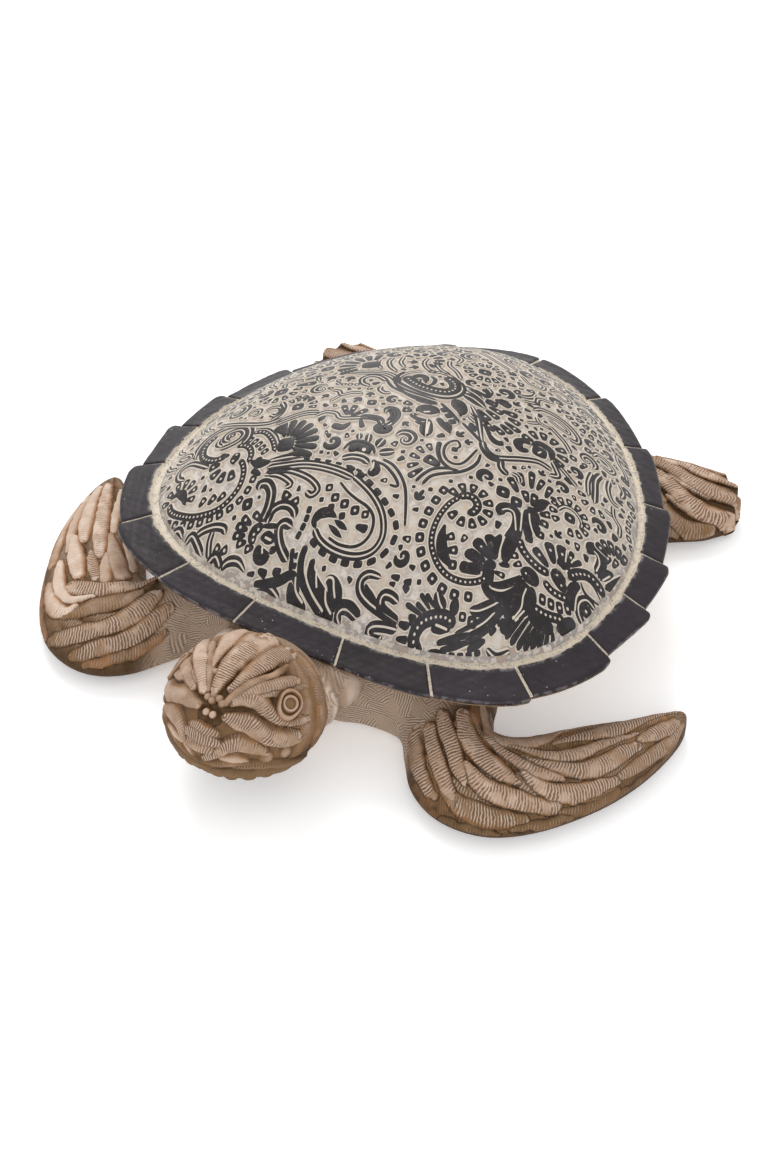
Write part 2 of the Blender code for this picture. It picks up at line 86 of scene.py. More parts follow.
# The body's wall from the belly's middle up: share of its plan and height
BODY_PROFILE = ((0.0, 0.0), (0.5, 0.0), (BELLY_SHARE, 0.0), (0.92, 0.7), (0.955, BELLY_ROUNDING),
                (0.98, 0.15 * UNDER_RIM), (1.0, 0.3 * UNDER_RIM), (1.0, 0.45 * UNDER_RIM),
                (1.0, 0.62 * UNDER_RIM), (1.01, 0.8 * UNDER_RIM), (1.03, 0.96 * UNDER_RIM), (1.0, UNDER_RIM))

# The dome's pattern

# A curl and the hook beside the larger ones, drawn in a unit circle, and the curl's widths
CURL = ((-0.95, -0.3), (-0.45, -0.85), (0.35, -0.8), (0.82, -0.15), (0.5, 0.55), (-0.1, 0.55), (-0.25, 0.05),
        (0.1, -0.15))
CURL_WIDTHS = (0.9, 1.8, 2.2, 2.3, 2.0, 1.6, 1.2, 1.0)
RING_FROM = 6.0              # the least radius of each kind of small motif; smaller still are dots
CURL_FROM = 3.0
SPRIG_FROM = 2.1
PETAL_FROM = 1.3
BOLD_FROM = 4.4              # curls from this radius up have a cream line in them
HOOK = ((-0.25, 0.95), (-0.85, 0.55), (-0.95, -0.15), (-0.6, -0.75))
DIMPLE = 0.48                # a petal's cut dot reaches no further than this from its middle

PATTERN_HEIGHT = 0.62        # how far the charcoal stands out of its cream ground
PATTERN_FOOT = -0.25         # its walls run this far into the ground
PATTERN_END = 0.985          # the pattern stops at this share of the dome's reach
EDGE_SLOPE = 0.16            # the walls' run in plan
HALO = 0.5                   # the cream border round each shape, which parts it from those drawn before
HALO_STEP = 0.04             # how far the charcoal stands over its border
LAYER = 0.0002               # each shape lies this far over the one drawn before
STROKE_STEP = 0.8
CREAM_CUT = 0.24             # half widths of a cut line and of its rim
CREAM_LIP = 0.32
DOT_RADIUS = 0.46
DOT_SPACING = 1.9
FILL_CELL = 0.5              # the grid on which gaps are looked for, and what it covers in x and y
FILL_X = (-106, 106)
FILL_Y = (-80, 120)
FILL_ROOM = 12.0             # a gap counts as no roomier than this
FILL_SMALLEST = 1.3
FILL_LARGEST = (5.5, 10.5)   # each motif's radius stays under a number drawn between these
FILL_MARGIN = 0.1
MOTIF_GAP = 0.3              # how far a motif stays inside its circle
FILL_END = 0.98              # no motif's middle lies past this share of the dome's reach
FILL_REACH = 90.0
FRONT_CROWDING = 0.9         # the gaps in front count as this much tighter

# The flippers

FLIPPER_EDGE = 7.5           # their edges' thickness
FLIPPER_LIFT = 0.4           # their undersides over the ground
RIGHT_REACH = 7.0            # how much further forward the right front flipper runs
RIGHT_WIDENING = 9.0
TIP_START = 0.955
TIP_TRIM = 0.0065
FRONT_CREST = -0.25          # where across a flipper its top is highest, from 1 in front to -1 behind
REAR_CREST = -0.6
FAN_START = 0.95             # where a rear flipper's end face begins
FAN_THICKNESS = 1.2
FAN_BULGE = 8.0
REAR_RIB_COUNT = 4
SCALLOP_DEPTH = 2.8
OUTERMOST = 0.97
LIMB_HATCH = 1.25            # the hatch lines' pitch
SIDEWAYS = (0.3, 0.3, 1.0)   # how much of the relief goes each way
UPRIGHT = np.array([0.0, 0.0, 1.0])
PUT_AWAY = 1000.0            # undersides are moved this far off, out of the carving's way
FRONT_GRID = (180, 22)       # points across a flipper's top and underside
REAR_GRID = (130, 20)
RIBBON_REACH = 1.12          # ribbons run this much wider than their half widths, to overlap

# The head, neck and tail

HEAD_RADII = np.array([32.0, 33.0, 24.0])
HEAD_AHEAD = 26.0            # the head's middle in front of the carapace
HEAD_CLEARANCE = 6.5
HEAD_CENTRE = np.array([0.0, SHELL_CENTRE[1] - SHELL_FRONT - HEAD_AHEAD, HEAD_CLEARANCE + HEAD_RADII[2]])
HEAD_INSET = 0.22            # the carving's ground lies this far in from the plain form
HEAD_HATCH = 1.05
SKIN_HATCH = 1.15            # on plain skin
RIGHT_CHEEK_HATCH = 0.4      # of the left cheek's
KNOT_LIFT = 52.0
KNOT_BALL = (1.7, 2.2, 0.3)  # radius and rise in millimetres, whitewash
BEAK_DEPTH = 2.4
MOUTH_DEPTH = 1.2
MOUTH_TURNS = (0, 16, 30, 46, 68, 92)
MOUTH_LIFTS = (-5, -3, 3, 3, -6, -14)
NOSTRIL_PLACE = (5.0, 42.0)
NOSTRIL_REACH = (2.9, 4.0)
SOCKET_REACH = (5.2, 8.0)
EYE_PLACES = {1: (81.0, 43.0), -1: (-82.0, 27.0)}
EYE_RADIUS = 5.1
LID_REACH = 0.46
EYE_SINK = 0.3
# From the pupil out: share of the eye's radius and height
EYE_PROFILE = np.array(((0.0, -0.3), (0.24, -0.3), (0.4, -0.1), (0.45, 0.5), (0.5, 1.2), (0.58, 1.5),
                        (0.67, 1.4), (0.73, 0.9), (0.79, 0.9), (0.85, 1.7), (0.91, 2.0), (0.98, 1.9),
                        (1.06, 1.2), (1.14, 0.3), (1.24, -0.7), (1.32, -1.8)))
# From the pupil out: share of the eye's radius and how much of the paint there is a crest's
EYE_CREST = ((0.0, 0.4, 0.46, 0.52, 0.64, 0.7, 0.8, 0.86, 0.94, 1.04, 1.14),
             (0.12, 0.0, 0.3, 0.9, 0.85, 0.15, 0.1, 0.6, 0.75, 0.4, 0.1))
NECK_RADIUS = 36.0
NECK_LENGTH = 65.0
NECK_SWELL = 4.8
NECK_GRID = (60, 160)
TAIL_RADIUS = 11.0
TAIL_LENGTH = 29.6
TAIL_HEIGHT = 16.0
TAIL_INSET = 0.3
TAIL_GRID = (60, 90)

# Light and camera, in metres and degrees

WORLD_STRENGTH = 0.85
KEY_POWER = 9.0
KEY_PLACE = (-0.62, 0.66, 0.95)
FILL_POWER = 5.0
FILL_PLACE = (0.8, -1.1, 0.9)
FLOOR_REACH = 6
CAMERA_TURN = 31.0           # round to the turtle's left
CAMERA_LIFT = 43.1
CAMERA_DISTANCE = 0.72
CAMERA_AIM = (0.05854, -0.094, 0.11392)
CAMERA_LENS = 61.54
CAMERA_SENSOR = 36.0


# The outlines of the left limbs in plan, from root to tip, and their tops as shares of the rim's underside

FRONT_LEADING = ((0, -88), (20, -88), (33, -83.5), (49, -83), (58, -93), (67, -104), (79, -111),
                 (93, -112.5), (107, -108.5), (120, -98), (131, -83.5), (139.5, -68), (145.5, -51),
                 (148.5, -34), (149, -19))
FRONT_TRAILING = ((0, -10), (24, -10), (50, -17), (67, -31), (75, -46), (79, -57), (84, -64), (92, -62.5),
                  (101, -55), (110, -45), (119, -36), (128, -28.5), (134, -22.5), (140, -17), (144, -11))
FRONT_TOP = (0.99, 0.99, 0.97, 0.88, 0.77, 0.7, 0.63, 0.58, 0.555, 0.53, 0.5, 0.475, 0.44, 0.39, 0.31)
REAR_LEADING = ((52, 40), (70, 60), (84, 76), (96, 85), (105, 92), (110, 101))
REAR_TRAILING = ((16, 84), (34, 104), (50, 117), (63, 124), (77, 127.5), (90, 128.5))
REAR_TOP = (0.88, 0.72, 0.59, 0.5, 0.44, 0.39)

# The front flippers' leaves in plan: the path of each, its half widths along it, how far it stands out,
# how much it is hatched and how much whitewash it keeps

LEFT_LEAVES = (
    (((78.2, -63.8), (82.2, -69.2), (88.9, -75), (95.4, -72.9), (102.3, -67.3), (106.4, -56.6),
     (111.6, -48.7), (118.2, -41.4), (125.8, -34.7)), (2.2, 2.8, 4.4, 5.1, 4.8, 2.9, 2.9, 1.9, 0.4), 1.5,
     0.3, 0.38),
    (((93.3, -76.4), (100.2, -75.1), (108.1, -73.4), (115.1, -69.7), (121.2, -62.7), (125.6, -55.3),
     (130.2, -48.9), (135.4, -41.2)), (1.3, 1.7, 2.2, 3.1, 3.1, 2.3, 1.6, 0.9), 1.8, 0.9, 0.41),
    (((110, -65.8), (113.2, -60.8), (118, -54.6), (122.7, -47.8), (128, -40.3), (132.7, -31.5),
     (137.9, -22.9), (142.7, -18.2)), (1.1, 2.2, 3.4, 5.2, 4.7, 3.5, 2.9, 1.8), 1.9, 1, 0.34),
    (((137.4, -43.3), (140.1, -37.7), (142.8, -31.2), (145, -24.2)), (1.7, 3, 3.2, 2.1), 1.9, 0.9, 0.38),
    (((87, -77.3), (93.9, -80.1), (100.8, -81.3), (108.1, -81.5), (114.4, -80.1), (120.3, -77.7)),
     (2.3, 2.2, 2.6, 3, 2.8, 1.6), 1.9, 0.8, 0.45),
    (((104.6, -78.3), (110.8, -76.7), (116.8, -74.6), (122.9, -71.5), (127.9, -66.5), (131.6, -59.9),
     (134.3, -53.4), (137.3, -46.8)), (1, 1.9, 2.9, 3.7, 3.8, 3.6, 3.2, 2.3), 2.2, 1, 0.38),
    (((106.7, -84.6), (112.6, -85.8), (118.8, -84.9), (124.8, -80.9), (129.6, -75.5), (133.9, -69.3),
     (137.9, -63.2)), (1.7, 2.9, 3.5, 3.6, 3.1, 2.3, 1.3), 2.4, 1, 0.52),
    (((136.3, -65.7), (139.1, -58.8), (141.6, -51.3), (143.7, -44.7), (145.8, -37.7), (147.2, -29.3),
     (147.3, -20.7)), (0.9, 1.7, 2.2, 2.1, 1.9, 1.3, 0.7), 1.8, 0.8, 0.3),
    (((86.5, -93.4), (91.2, -95.9), (96.6, -97.7), (102.7, -97.2), (108.9, -95.2), (115.3, -92.7),
     (120.8, -89.7), (123.7, -86.8)), (1.6, 3.1, 4, 4.1, 3.8, 3.4, 2.9, 1.7), 2.4, 1, 0.56),
    (((74.9, -75.4), (78.2, -79.5), (82.1, -83.2), (87.9, -86.3), (94.8, -88.2), (101.7, -89.4),
     (107.5, -89.4)), (3.1, 4, 4.4, 4.4, 4.4, 3.6, 1.6), 2.4, 1, 0.45),
    (((98.5, -88.4), (103.8, -88.1), (108.5, -88.8), (114.3, -89.3)), (1.3, 1.9, 2.3, 1.6), 1.3, 0.8, 0.15),
    (((67.9, -79.8), (71.7, -83.9), (76.5, -88.2), (80.5, -92.2), (84.6, -96), (89.5, -99.9)),
     (2.7, 3.3, 3.5, 3.3, 2.9, 1.5), 2.3, 1, 0.41),
    (((65.4, -85.7), (70, -91.3), (74.5, -95.9), (79.3, -100.2), (83.9, -104.1), (89.2, -106.6)),
     (2.4, 2.7, 2.9, 2.9, 2.6, 1.6), 2.4, 0.9, 0.45),
    (((83.8, -104.8), (90.3, -106.9), (96.6, -106.8), (103, -105.6), (109.2, -102.6), (115.8, -98.1)),
     (2.2, 3.1, 3.3, 3.2, 2.4, 1.2), 2.2, 1, 0.15),
    (((59.1, -87.4), (62.3, -91.9), (66.7, -97.2), (71.3, -101.8), (76.3, -105.8), (81.1, -107.9)),
     (2.4, 2.8, 2.8, 2.4, 1.9, 1.3), 2.2, 1, 0.45),
    (((111.9, -103.9), (116.5, -99.7), (121.3, -95.2), (125, -90.6), (128.9, -84.8)),
     (0.7, 1.1, 1.2, 1.2, 0.9), 1.5, 0.6, 0.15),
    (((124.5, -88.3), (129.1, -83.6), (133.2, -77.8), (137, -71.2), (139.8, -64.9)),
     (1.1, 1.5, 1.4, 1.3, 0.8), 1.5, 0.7, 0.19),
    (((139.4, -67.3), (142.6, -59.7), (145.4, -51), (147.4, -42), (148.3, -33.3)), (0.6, 0.7, 0.7, 0.5, 0.4),
     1.3, 0.9, 0.08),
    (((85.4, -112), (92.4, -112), (99, -110.9), (105.1, -109), (110, -106.7)), (0.7, 1, 1, 0.7, 0.4), 1.2,
     0.9, 0.11),
    (((130.8, -79.5), (133.2, -74.9), (136, -69.7), (138, -65.1)), (0.9, 1.2, 1.2, 0.8), 1.2, 0.6, 0.22),
)
RIGHT_LEAVES = (
    (((-138.9, -25.7), (-132.9, -35), (-126.6, -44.5), (-120.8, -53.7), (-114.5, -62.6), (-109.5, -69.2)),
     (2.1, 3, 3.6, 3.8, 3.8, 2.4), 2.3, 0.55, 0.9),
    (((-141.9, -28.6), (-137.6, -38.4), (-132.6, -47.9), (-127.7, -56.4), (-123.8, -63)),
     (2.2, 3, 3.7, 3.9, 2.6), 2.1, 0.3, 0.95),
    (((-143.5, -34.8), (-139.4, -45.1), (-135.1, -55.1), (-130.8, -63.6), (-126.5, -70.5)),
     (1.8, 3, 2.9, 2.6, 1.7), 1.7, 0.2, 0.7),
    (((-146.5, -38.2), (-142.1, -50.2), (-139.3, -59.7), (-134.9, -68.9), (-130.5, -77.4)),
     (1.8, 3, 3.1, 3.5, 2.9), 1.7, 0.2, 0.85),
    (((-129.2, -62.7), (-123.6, -69), (-117.5, -75.5), (-110.7, -82.8)), (2, 3.7, 4.3, 3.2), 2.7, 0.3, 1),
    (((-125.6, -77.5), (-120.1, -85.2), (-114, -91.5), (-106.5, -96), (-100.5, -94.6), (-96.8, -91.6)),
     (1.9, 2.9, 3.2, 2.8, 2.3, 1.6), 2.4, 0.2, 0.95),
    (((-122.9, -89.2), (-117.2, -95.5), (-110.2, -100.9), (-103.8, -101.8), (-101.3, -99.3)),
     (2.1, 2.8, 3.5, 3.8, 2.2), 2.3, 0.3, 0.95),
    (((-135.1, -76.6), (-128, -87.6), (-121.6, -97.1), (-114.1, -105.8), (-106.7, -112.6)),
     (1.1, 1.5, 1.4, 1.4, 1.1), 1.4, 0.2, 0.7),
    (((-110.1, -90), (-103.3, -88.8), (-96.4, -87.1), (-90.8, -83.9), (-85.6, -80.1), (-80.5, -75.5),
     (-76.5, -71)), (3.9, 4.6, 4.7, 4.6, 4.6, 3.8, 2.6), 2.4, 1, 0.55),
    (((-102.4, -103.9), (-97, -100.7), (-92.3, -96.1), (-86.8, -92.6), (-81.8, -88.6), (-78.4, -83.8)),
     (1.6, 3.4, 4.9, 5.1, 4.8, 2.7), 2.2, 0.3, 0.2),
    (((-102.5, -112.8), (-96.5, -111.7), (-90.1, -108.7), (-84, -105.1), (-78.7, -100.9), (-74.8, -94.7),
     (-72.5, -88.4), (-70.7, -82.7)), (2.9, 4.2, 4.2, 3.6, 3.9, 5, 5.6, 3.8), 1.9, 1, 0.35),
    (((-89.8, -116.8), (-84.5, -114.5), (-79.3, -110.7), (-74.3, -106.8), (-70, -101.8), (-66.8, -95.5),
     (-64.4, -89.1), (-61.8, -84.6)), (1.9, 2.9, 3.2, 2.9, 2.9, 3.1, 3.4, 2.3), 1.9, 1, 0.4),
    (((-83, -117.8), (-76.9, -114.5), (-71.2, -109.6), (-66.4, -104), (-62.8, -98), (-59.2, -91.2)),
     (1, 1.4, 1.6, 1.6, 1.3, 1), 1.6, 0.6, 0.4),
    (((-132.8, -24.3), (-126.2, -34.3), (-120, -44.5), (-114.8, -52.8)), (1.2, 1.9, 2.4, 1.8), 1.8, 0.2,
     0.95),
    (((-113.9, -55.6), (-107.3, -62.1), (-100.6, -68.2), (-93.1, -74.7)), (1.5, 3.3, 4.4, 3.9), 2.1, 0.3,
     0.5),
    (((-106.6, -55.3), (-100.4, -60.1), (-93.9, -66.8)), (1.5, 2.2, 2.1), 1.7, 0.1, 0.9),
    (((-106.8, -67.1), (-102.4, -74.1), (-97.3, -81.1)), (2, 3.2, 2.8), 1.8, 0.2, 0.6),
    (((-114.9, -68.6), (-108.6, -75.5), (-102, -81.8)), (1.7, 3, 2.5), 1.7, 0.9, 0.6),
)

# The same for the left rear flipper's ribs. The right one mirrors them

REAR_RIBS = (
    (((68, 121.5), (79, 125), (88, 126.3), (95.5, 127)), (2.2, 2.4, 2.4, 1.8), 2, 0.6, 0.6),
    (((70, 117.5), (80, 121), (88, 121), (96, 122), (103.5, 122.5)), (2.6, 2.8, 3, 3, 2.2), 2.2, 0.8, 0.75),
    (((60, 112), (74, 115.5), (87, 112.8), (97, 112.5), (108, 115)), (3.2, 3.8, 4.6, 5.2, 4), 2.4, 0.8,
     0.45),
    (((62, 104), (73, 106), (84, 103.5), (92, 100.5), (101, 100.3), (109.5, 104.5)),
     (3.6, 4.4, 4.8, 5, 4.8, 3.6), 2.4, 1, 0.6),
    (((62, 94), (74, 96), (82, 94.5)), (3.2, 3.8, 2.2), 1.8, 0.7, 0.4),
    (((76, 90), (84, 90.5), (92, 89), (99, 90.5), (106, 95.5)), (2.6, 3.4, 3.6, 3.2, 2.4), 2, 0.5, 0.15),
    (((66, 80), (76, 83.5), (86, 83.5), (94, 85.5)), (2.6, 3, 2.4, 1.6), 1.6, 0.5, 0.1),
    (((83, 97.5), (90, 96.5), (97, 97)), (1.2, 1.8, 1.2), 2.3, 1, 0.5),
    (((78, 109.5), (88, 108.2), (98, 107.8)), (1.4, 1.8, 1.2), 2.2, 0.9, 0.65),
)

# The locks of the crown, which fan back from the knot: a path of turns from straight ahead to the left and
# lifts above level in degrees, then half widths and rise in millimetres, hatch and whitewash

CROWN_LOCKS = (
    (((-104, 20), (-88, 32), (-66, 44), (-36, 50)), (2.6, 3.2, 3.4, 1.8), 2.3, 0.6, 0.7),
    (((-104, 40), (-90, 50), (-72, 57), (-43, 59), (-23, 55)), (3.4, 3.8, 3.6, 2.8, 1.9), 3, 0.5, 1),
    (((-136, 43), (-119, 62), (-90, 69), (-53, 68)), (5.4, 5, 3, 1), 2.2, 0.3, 0.9),
    (((-167, 63), (-156, 77), (-81, 84), (-28, 77), (-15, 68), (-10, 61)), (8, 6.5, 5.5, 4.6, 3.6, 2.2), 2.9,
     1, 0.8),
    (((150, 57), (139, 70), (111, 78), (60, 80), (24, 73), (12, 65)), (4.3, 4.4, 4.3, 3.6, 2.4, 1.3), 2.5, 1,
     0.6),
    (((122, 60), (93, 67), (63, 71), (35, 69), (19, 62), (12, 55)), (1.1, 1.5, 1.7, 2.1, 2.1, 1.4), 1.9, 0.2,
     0.25),
)

# The bands of the face, the same on both sides

FACE_BANDS = (
    (((17, 58), (34, 64), (58, 66), (84, 61), (106, 52)), (1, 2.2, 3.2, 3.4, 2.4), 1.9, 0.7, 0.5),
    (((46, 57), (62, 59), (80, 56), (96, 50), (108, 42)), (1, 1.8, 2.4, 2.2, 1.4), 1.7, 0.8, 0.3),
    (((20, 55), (35, 59), (51, 56), (58, 48), (64, 39), (74, 31), (87, 24)),
     (1.2, 3, 3.8, 3.2, 2.4, 1.9, 1.6), 1.9, 1, 0.5),
    (((16, 45), (28, 43), (39, 40), (46, 34), (53, 27), (62, 22), (73, 16)),
     (1.9, 3.4, 4, 3.8, 3.6, 3.6, 2.7), 2.1, 1, 0.55),
    (((5, 6), (14, 15), (22, 23), (31, 25), (40, 21), (48, 15)), (1.7, 2.2, 2.7, 3.6, 3.2, 1.6), 2, 1, 0.55),
    (((17, 10), (26, 11), (34, 9)), (1.4, 2.5, 1.4), 1.5, 0.2, 0.7),
    (((-4, -8), (10, -1), (23, 4), (37, 3), (49, 0), (64, -9), (83, -24)), (3, 2.2, 2.1, 2.1, 2.3, 2.6, 1.1),
     1.6, 0.3, 0.1),
    (((5, -12), (19, -9), (33, -10), (46, -9), (61, -16)), (3.6, 3.3, 3.6, 3.3, 3.8), 1.6, 0.3, 0.1),
    (((132, 51), (114, 44), (100, 34), (90, 23), (80, 8), (72, -2)), (2.5, 2.9, 3.3, 3.7, 4.3, 4), 1, 0.2,
     0.35),
    (((148, 44), (131, 37), (117, 29), (108, 18), (101, 3), (92, -6)), (3, 3.4, 3.6, 3.9, 5.8, 4.8), 1.2,
     0.4, 0.4),
)

# The beak's ridges below the nose

BEAK_BANDS = (
    (((-13, 30), (-5, 32), (5, 32), (13, 30)), (1.2, 2, 2, 1.2), 1.8, 1, 0.6),
    (((-15, 22), (-6, 25), (6, 25), (15, 22)), (1.8, 2.8, 2.8, 1.8), 1.9, 1, 0.55),
    (((-16, 13), (-6, 17), (6, 17), (16, 13)), (1.6, 2.8, 2.8, 1.6), 1.7, 0.8, 0.5),
)

# Small balls on each side of the face: place, radius and rise in millimetres, whitewash

FACE_BALLS = (
    ((3.6, 44), 1.9, 2.3, 0.8), ((48, 9), 3, 1.6, 0.3), ((62, 7), 2.8, 1.4, 0.25), ((39, 69), 1.6, 2.2, 0.3),
    ((35, -17), 3.4, 1.9, 0.2), ((61, -14), 3, 1.4, 0.2), ((12, -16), 3.2, 1.7, 0.2),
    ((22, -19), 3, 1.8, 0.2), ((48, -17), 3.2, 1.7, 0.2),
)
# Five more round the knot
KNOT_BALLS = ((-11.8, 53.8), (-6.6, 57.4), (2.4, 56.4), (-4.5, 53), (8, 53.5))

# The motifs of the pattern: kind, widths or sizes, and plan points

COMMA = (
    ("twin", (4.4,), ((-40.3, -38.8), (-33, -36), (-25.7, -33.2), (-18.4, -31.7), (-10.1, -31.1),
     (-2.8, -31.5))),
    ("lined", (3,), ((-3.2, -30.8), (0.5, -31.9), (6.8, -34.2), (12.2, -37.1), (16.3, -40.4), (19.2, -44.2),
     (20.6, -47.9), (20.1, -51.7), (17.7, -54.6), (13.5, -56.7), (7.8, -57.7), (1.5, -57.5), (-3.9, -56.1),
     (-7.8, -53.5))),
    ("line", (1.2, 1.5, 1.2), ((-6.8, -35), (-1.6, -37.4), (3.6, -38.8), (8.8, -39.8), (12.8, -41.9),
     (14.9, -45.2), (15.3, -48.9), (13.8, -52.2), (10.4, -54.4), (4.7, -55.2), (-0.5, -54.4))),
    ("line", (1.4, 4.2, 3.8, 1.6), ((-1.1, -47.3), (-5.2, -46.8), (-8.4, -48.5), (-9.1, -51.5),
     (-7.3, -53))),
    ("petal", (-3.1, -50.4), (5.2, -53.1), 2.4, False, 1),
    ("disc", (-9.9, -38.4), 1.7, True),
    ("disc", (-5.5, -41), 1.9, True),
    ("disc", (-0.5, -41.9), 2, True),
    ("disc", (4.9, -42.7), 2, True),
    ("disc", (9.7, -42.7), 1.7, True),
    ("petal", (8, -47.6), (13.6, -47.3), 3.4, False),
    ("disc", (-5.1, -44.8), 1.5, False),
    ("disc", (0.9, -46.2), 1.5, False),
    ("petal", (-1.6, -48.3), (5.9, -50), 2.6, False, 1),
    ("row", (4, 2.6), 5.3, ((-5.8, -28.3), (0.5, -29.5), (7, -32), (12.8, -34.6), (17.6, -37.4), (22, -40.4),
     (24.7, -43.6), (25.5, -47.1), (24.9, -50.4), (23.6, -53.1), (20.8, -56), (16.6, -58.3), (11.1, -59.6),
     (5.2, -59.9), (-1.1, -59.1), (-5.5, -57.7)), False),
    ("row", (3, 2.4), 3, ((-13.4, -48.3), (-12.8, -51.2), (-12.7, -54.2), (-13, -57.2)), False),
    ("lined", (3,), ((-39.2, -39.8), (-32, -37.4), (-24.7, -37.1), (-18.4, -38.1), (-14.2, -40.5),
     (-15.5, -43.3), (-18.6, -42.6))),
    ("lined", (2.8,), ((-39.8, -41), (-34, -40), (-28.8, -40.8), (-26.2, -42.1), (-28, -43.8))),
    ("row", (3, 1.5), 5, ((-25.7, -30.4), (-18.4, -29), (-11.1, -28.1), (-3.8, -27.9), (2.4, -28.5)), False),
)
PALMETTE = (
    ("disc", (-38.4, -26.7), 3.7, False),
    ("fan", (-38.8, -27), 58, 132, 8, 4, 14.6, 3.5, False),
    ("petal", (-40.8, -21.8), (-48.4, -18.6), 4.6, False),
    ("petal", (-35.1, -30.6), (-25.7, -28), 3.4, False, 1),
    ("beaded", (2.8,), ((-57.6, -22.5), (-52.8, -21.8), (-48.1, -23.9), (-44.2, -27), (-41.3, -30.6))),
    ("line", (1, 1.2, 1), ((-57.8, -20.2), (-51.8, -19.8), (-45.5, -22.8), (-42.2, -25.9))),
    ("row", (2.6, 3.9), 3, ((-56.2, -26.5), (-53.6, -27.2), (-51, -28.3), (-48.4, -29.7), (-45.8, -31.5)),
     True),
    ("line", (1.6, 4.6, 2), ((-49.7, -36.5), (-45.1, -37.1), (-40.3, -35.4))),
    ("lined", (2, 3.8, 1.6), ((-41.3, -35.4), (-36.1, -32.9), (-30.9, -30.8), (-26.2, -29.4))),
    ("petal", (-43.4, -39), (-47.1, -34.3), 3.2, False),
    ("petal", (-41.3, -41.6), (-46.8, -40), 3, False),
    ("disc", (-40.5, -52.8), 1.9, True),
)
DOTTED_BIRD = (
    ("beaded", (2.8,), ((-80.7, -53.8), (-77.8, -56.7), (-72.6, -58.5), (-65.3, -59.4), (-59, -58.5),
     (-53.8, -56.5), (-50.2, -52.7), (-48.4, -47.5), (-49.5, -42.3), (-52.2, -38.5), (-55.1, -36.5))),
    ("beaded", (3,), ((-50.5, -37.1), (-51.1, -33.8), (-53.8, -30.8), (-57.5, -29.4), (-60.9, -30))),
    ("row", (3.6, 3.3), 4.5, ((-76.8, -60.8), (-72.1, -61.7), (-67.4, -62), (-63, -61.7), (-58.2, -60.7),
     (-53.6, -59.2), (-49.7, -56.8), (-46.5, -53.9), (-44.4, -50.7), (-43.6, -47.2), (-43.8, -43.6)), True),
    ("fan", (-59, -36.9), -108, 100, 4, 4.8, 10.2, 4, True),
    ("petal", (-63.4, -56.2), (-62, -52.3), 3.2, True),
    ("petal", (-59.5, -55.2), (-57.4, -51.2), 3.4, True),
    ("petal", (-55.7, -53.8), (-53.2, -50), 3.2, True),
    ("line", (1.6, 4, 1.8), ((-81.4, -51.7), (-78, -50), (-74.5, -51.5), (-71.5, -54.8))),
    ("fan", (-76.5, -53.1), 92, 180, 7, 4.4, 9, 2.9, True),
    ("lined", (3,), ((-79.5, -44.2), (-82.8, -43.3), (-84.9, -40.4), (-83.8, -37.7), (-80.1, -36.7),
     (-74.5, -38.3), (-69.2, -40))),
    ("lined", (4,), ((-80.7, -33.8), (-82.4, -28.3), (-81.8, -22.9), (-78.2, -18.8), (-72, -16.9),
     (-65.5, -17.5), (-60.7, -20.4), (-58.4, -25), (-59.2, -28.8))),
    ("beaded", (3.6,), ((-76.8, -21.9), (-78.8, -26.5), (-78.4, -30.4), (-75.9, -34.2), (-72, -36.2),
     (-67.4, -36.7), (-63, -34.8))),
    ("lined", (3.4,), ((-67.2, -26.7), (-69.9, -25.8), (-71.3, -23.1), (-69.5, -20.8), (-65.3, -20.2),
     (-62, -22.7), (-62.2, -26.5), (-65.5, -29.4), (-69.2, -31))),
    ("disc", (-67.6, -23.5), 1.5, True),
    ("lined", (1.6, 3, 2.2), ((-73.6, -24.4), (-72.4, -27.9), (-69.2, -29.6))),
    ("petal", (-61.5, -34.6), (-66.5, -35), 3.2, True),
    ("line", (3.8, 4.4, 4), ((-58.2, -32.9), (-58, -35.8), (-57.4, -38.5))),
    ("cream_dot", (-58.2, -34.2), 0.5),
    ("cream_dot", (-58.2, -37.1), 0.5),
)
DOTTED_CURL = (
    ("beaded", (2.7,), ((40.1, -20.4), (38.2, -24.6), (37.3, -30.1), (37.6, -35.8), (39.4, -41.2),
     (42.8, -45), (47, -47.5), (51.8, -48.4), (56.8, -47.4), (60.9, -45.1), (63.6, -42.1), (63.4, -39.8))),
    ("beaded", (3.8,), ((40.1, -20.8), (41.5, -18.3), (44.8, -17.3), (47.7, -19.2), (47.8, -22.5),
     (45.9, -24.4))),
    ("fan", (44.8, -21), 28, 286, 10, 5.4, 10.1, 3.7, True),
    ("row", (4, 3.9), 5.5, ((33.2, -21.2), (32.8, -25.9), (32.6, -31.7), (33.1, -37.3), (34.6, -42.1),
     (37.8, -46.4), (41.8, -49.7), (45.1, -51.5), (48.8, -52.7), (52.8, -53), (56.5, -52.4)), True),
    ("disc", (61.5, -50.2), 1.8, True),
    ("line", (1.4, 4.2, 4.6, 2), ((40.9, -33.2), (42.2, -37.9), (45.5, -42.7), (50.7, -45.2))),
    ("petal", (43.2, -38.1), (46.5, -34.8), 3.4, True),
    ("petal", (45.9, -41.5), (50.3, -38.8), 3.6, True),
    ("disc", (50.9, -44.4), 1.9, True),
    ("fan", (64.9, -35.8), 173, 92, 4, 3.6, 11.6, 4.3, True),
    ("line", (3, 4, 2.4), ((63.2, -39), (64.9, -42.6), (66.3, -44.2))),
)
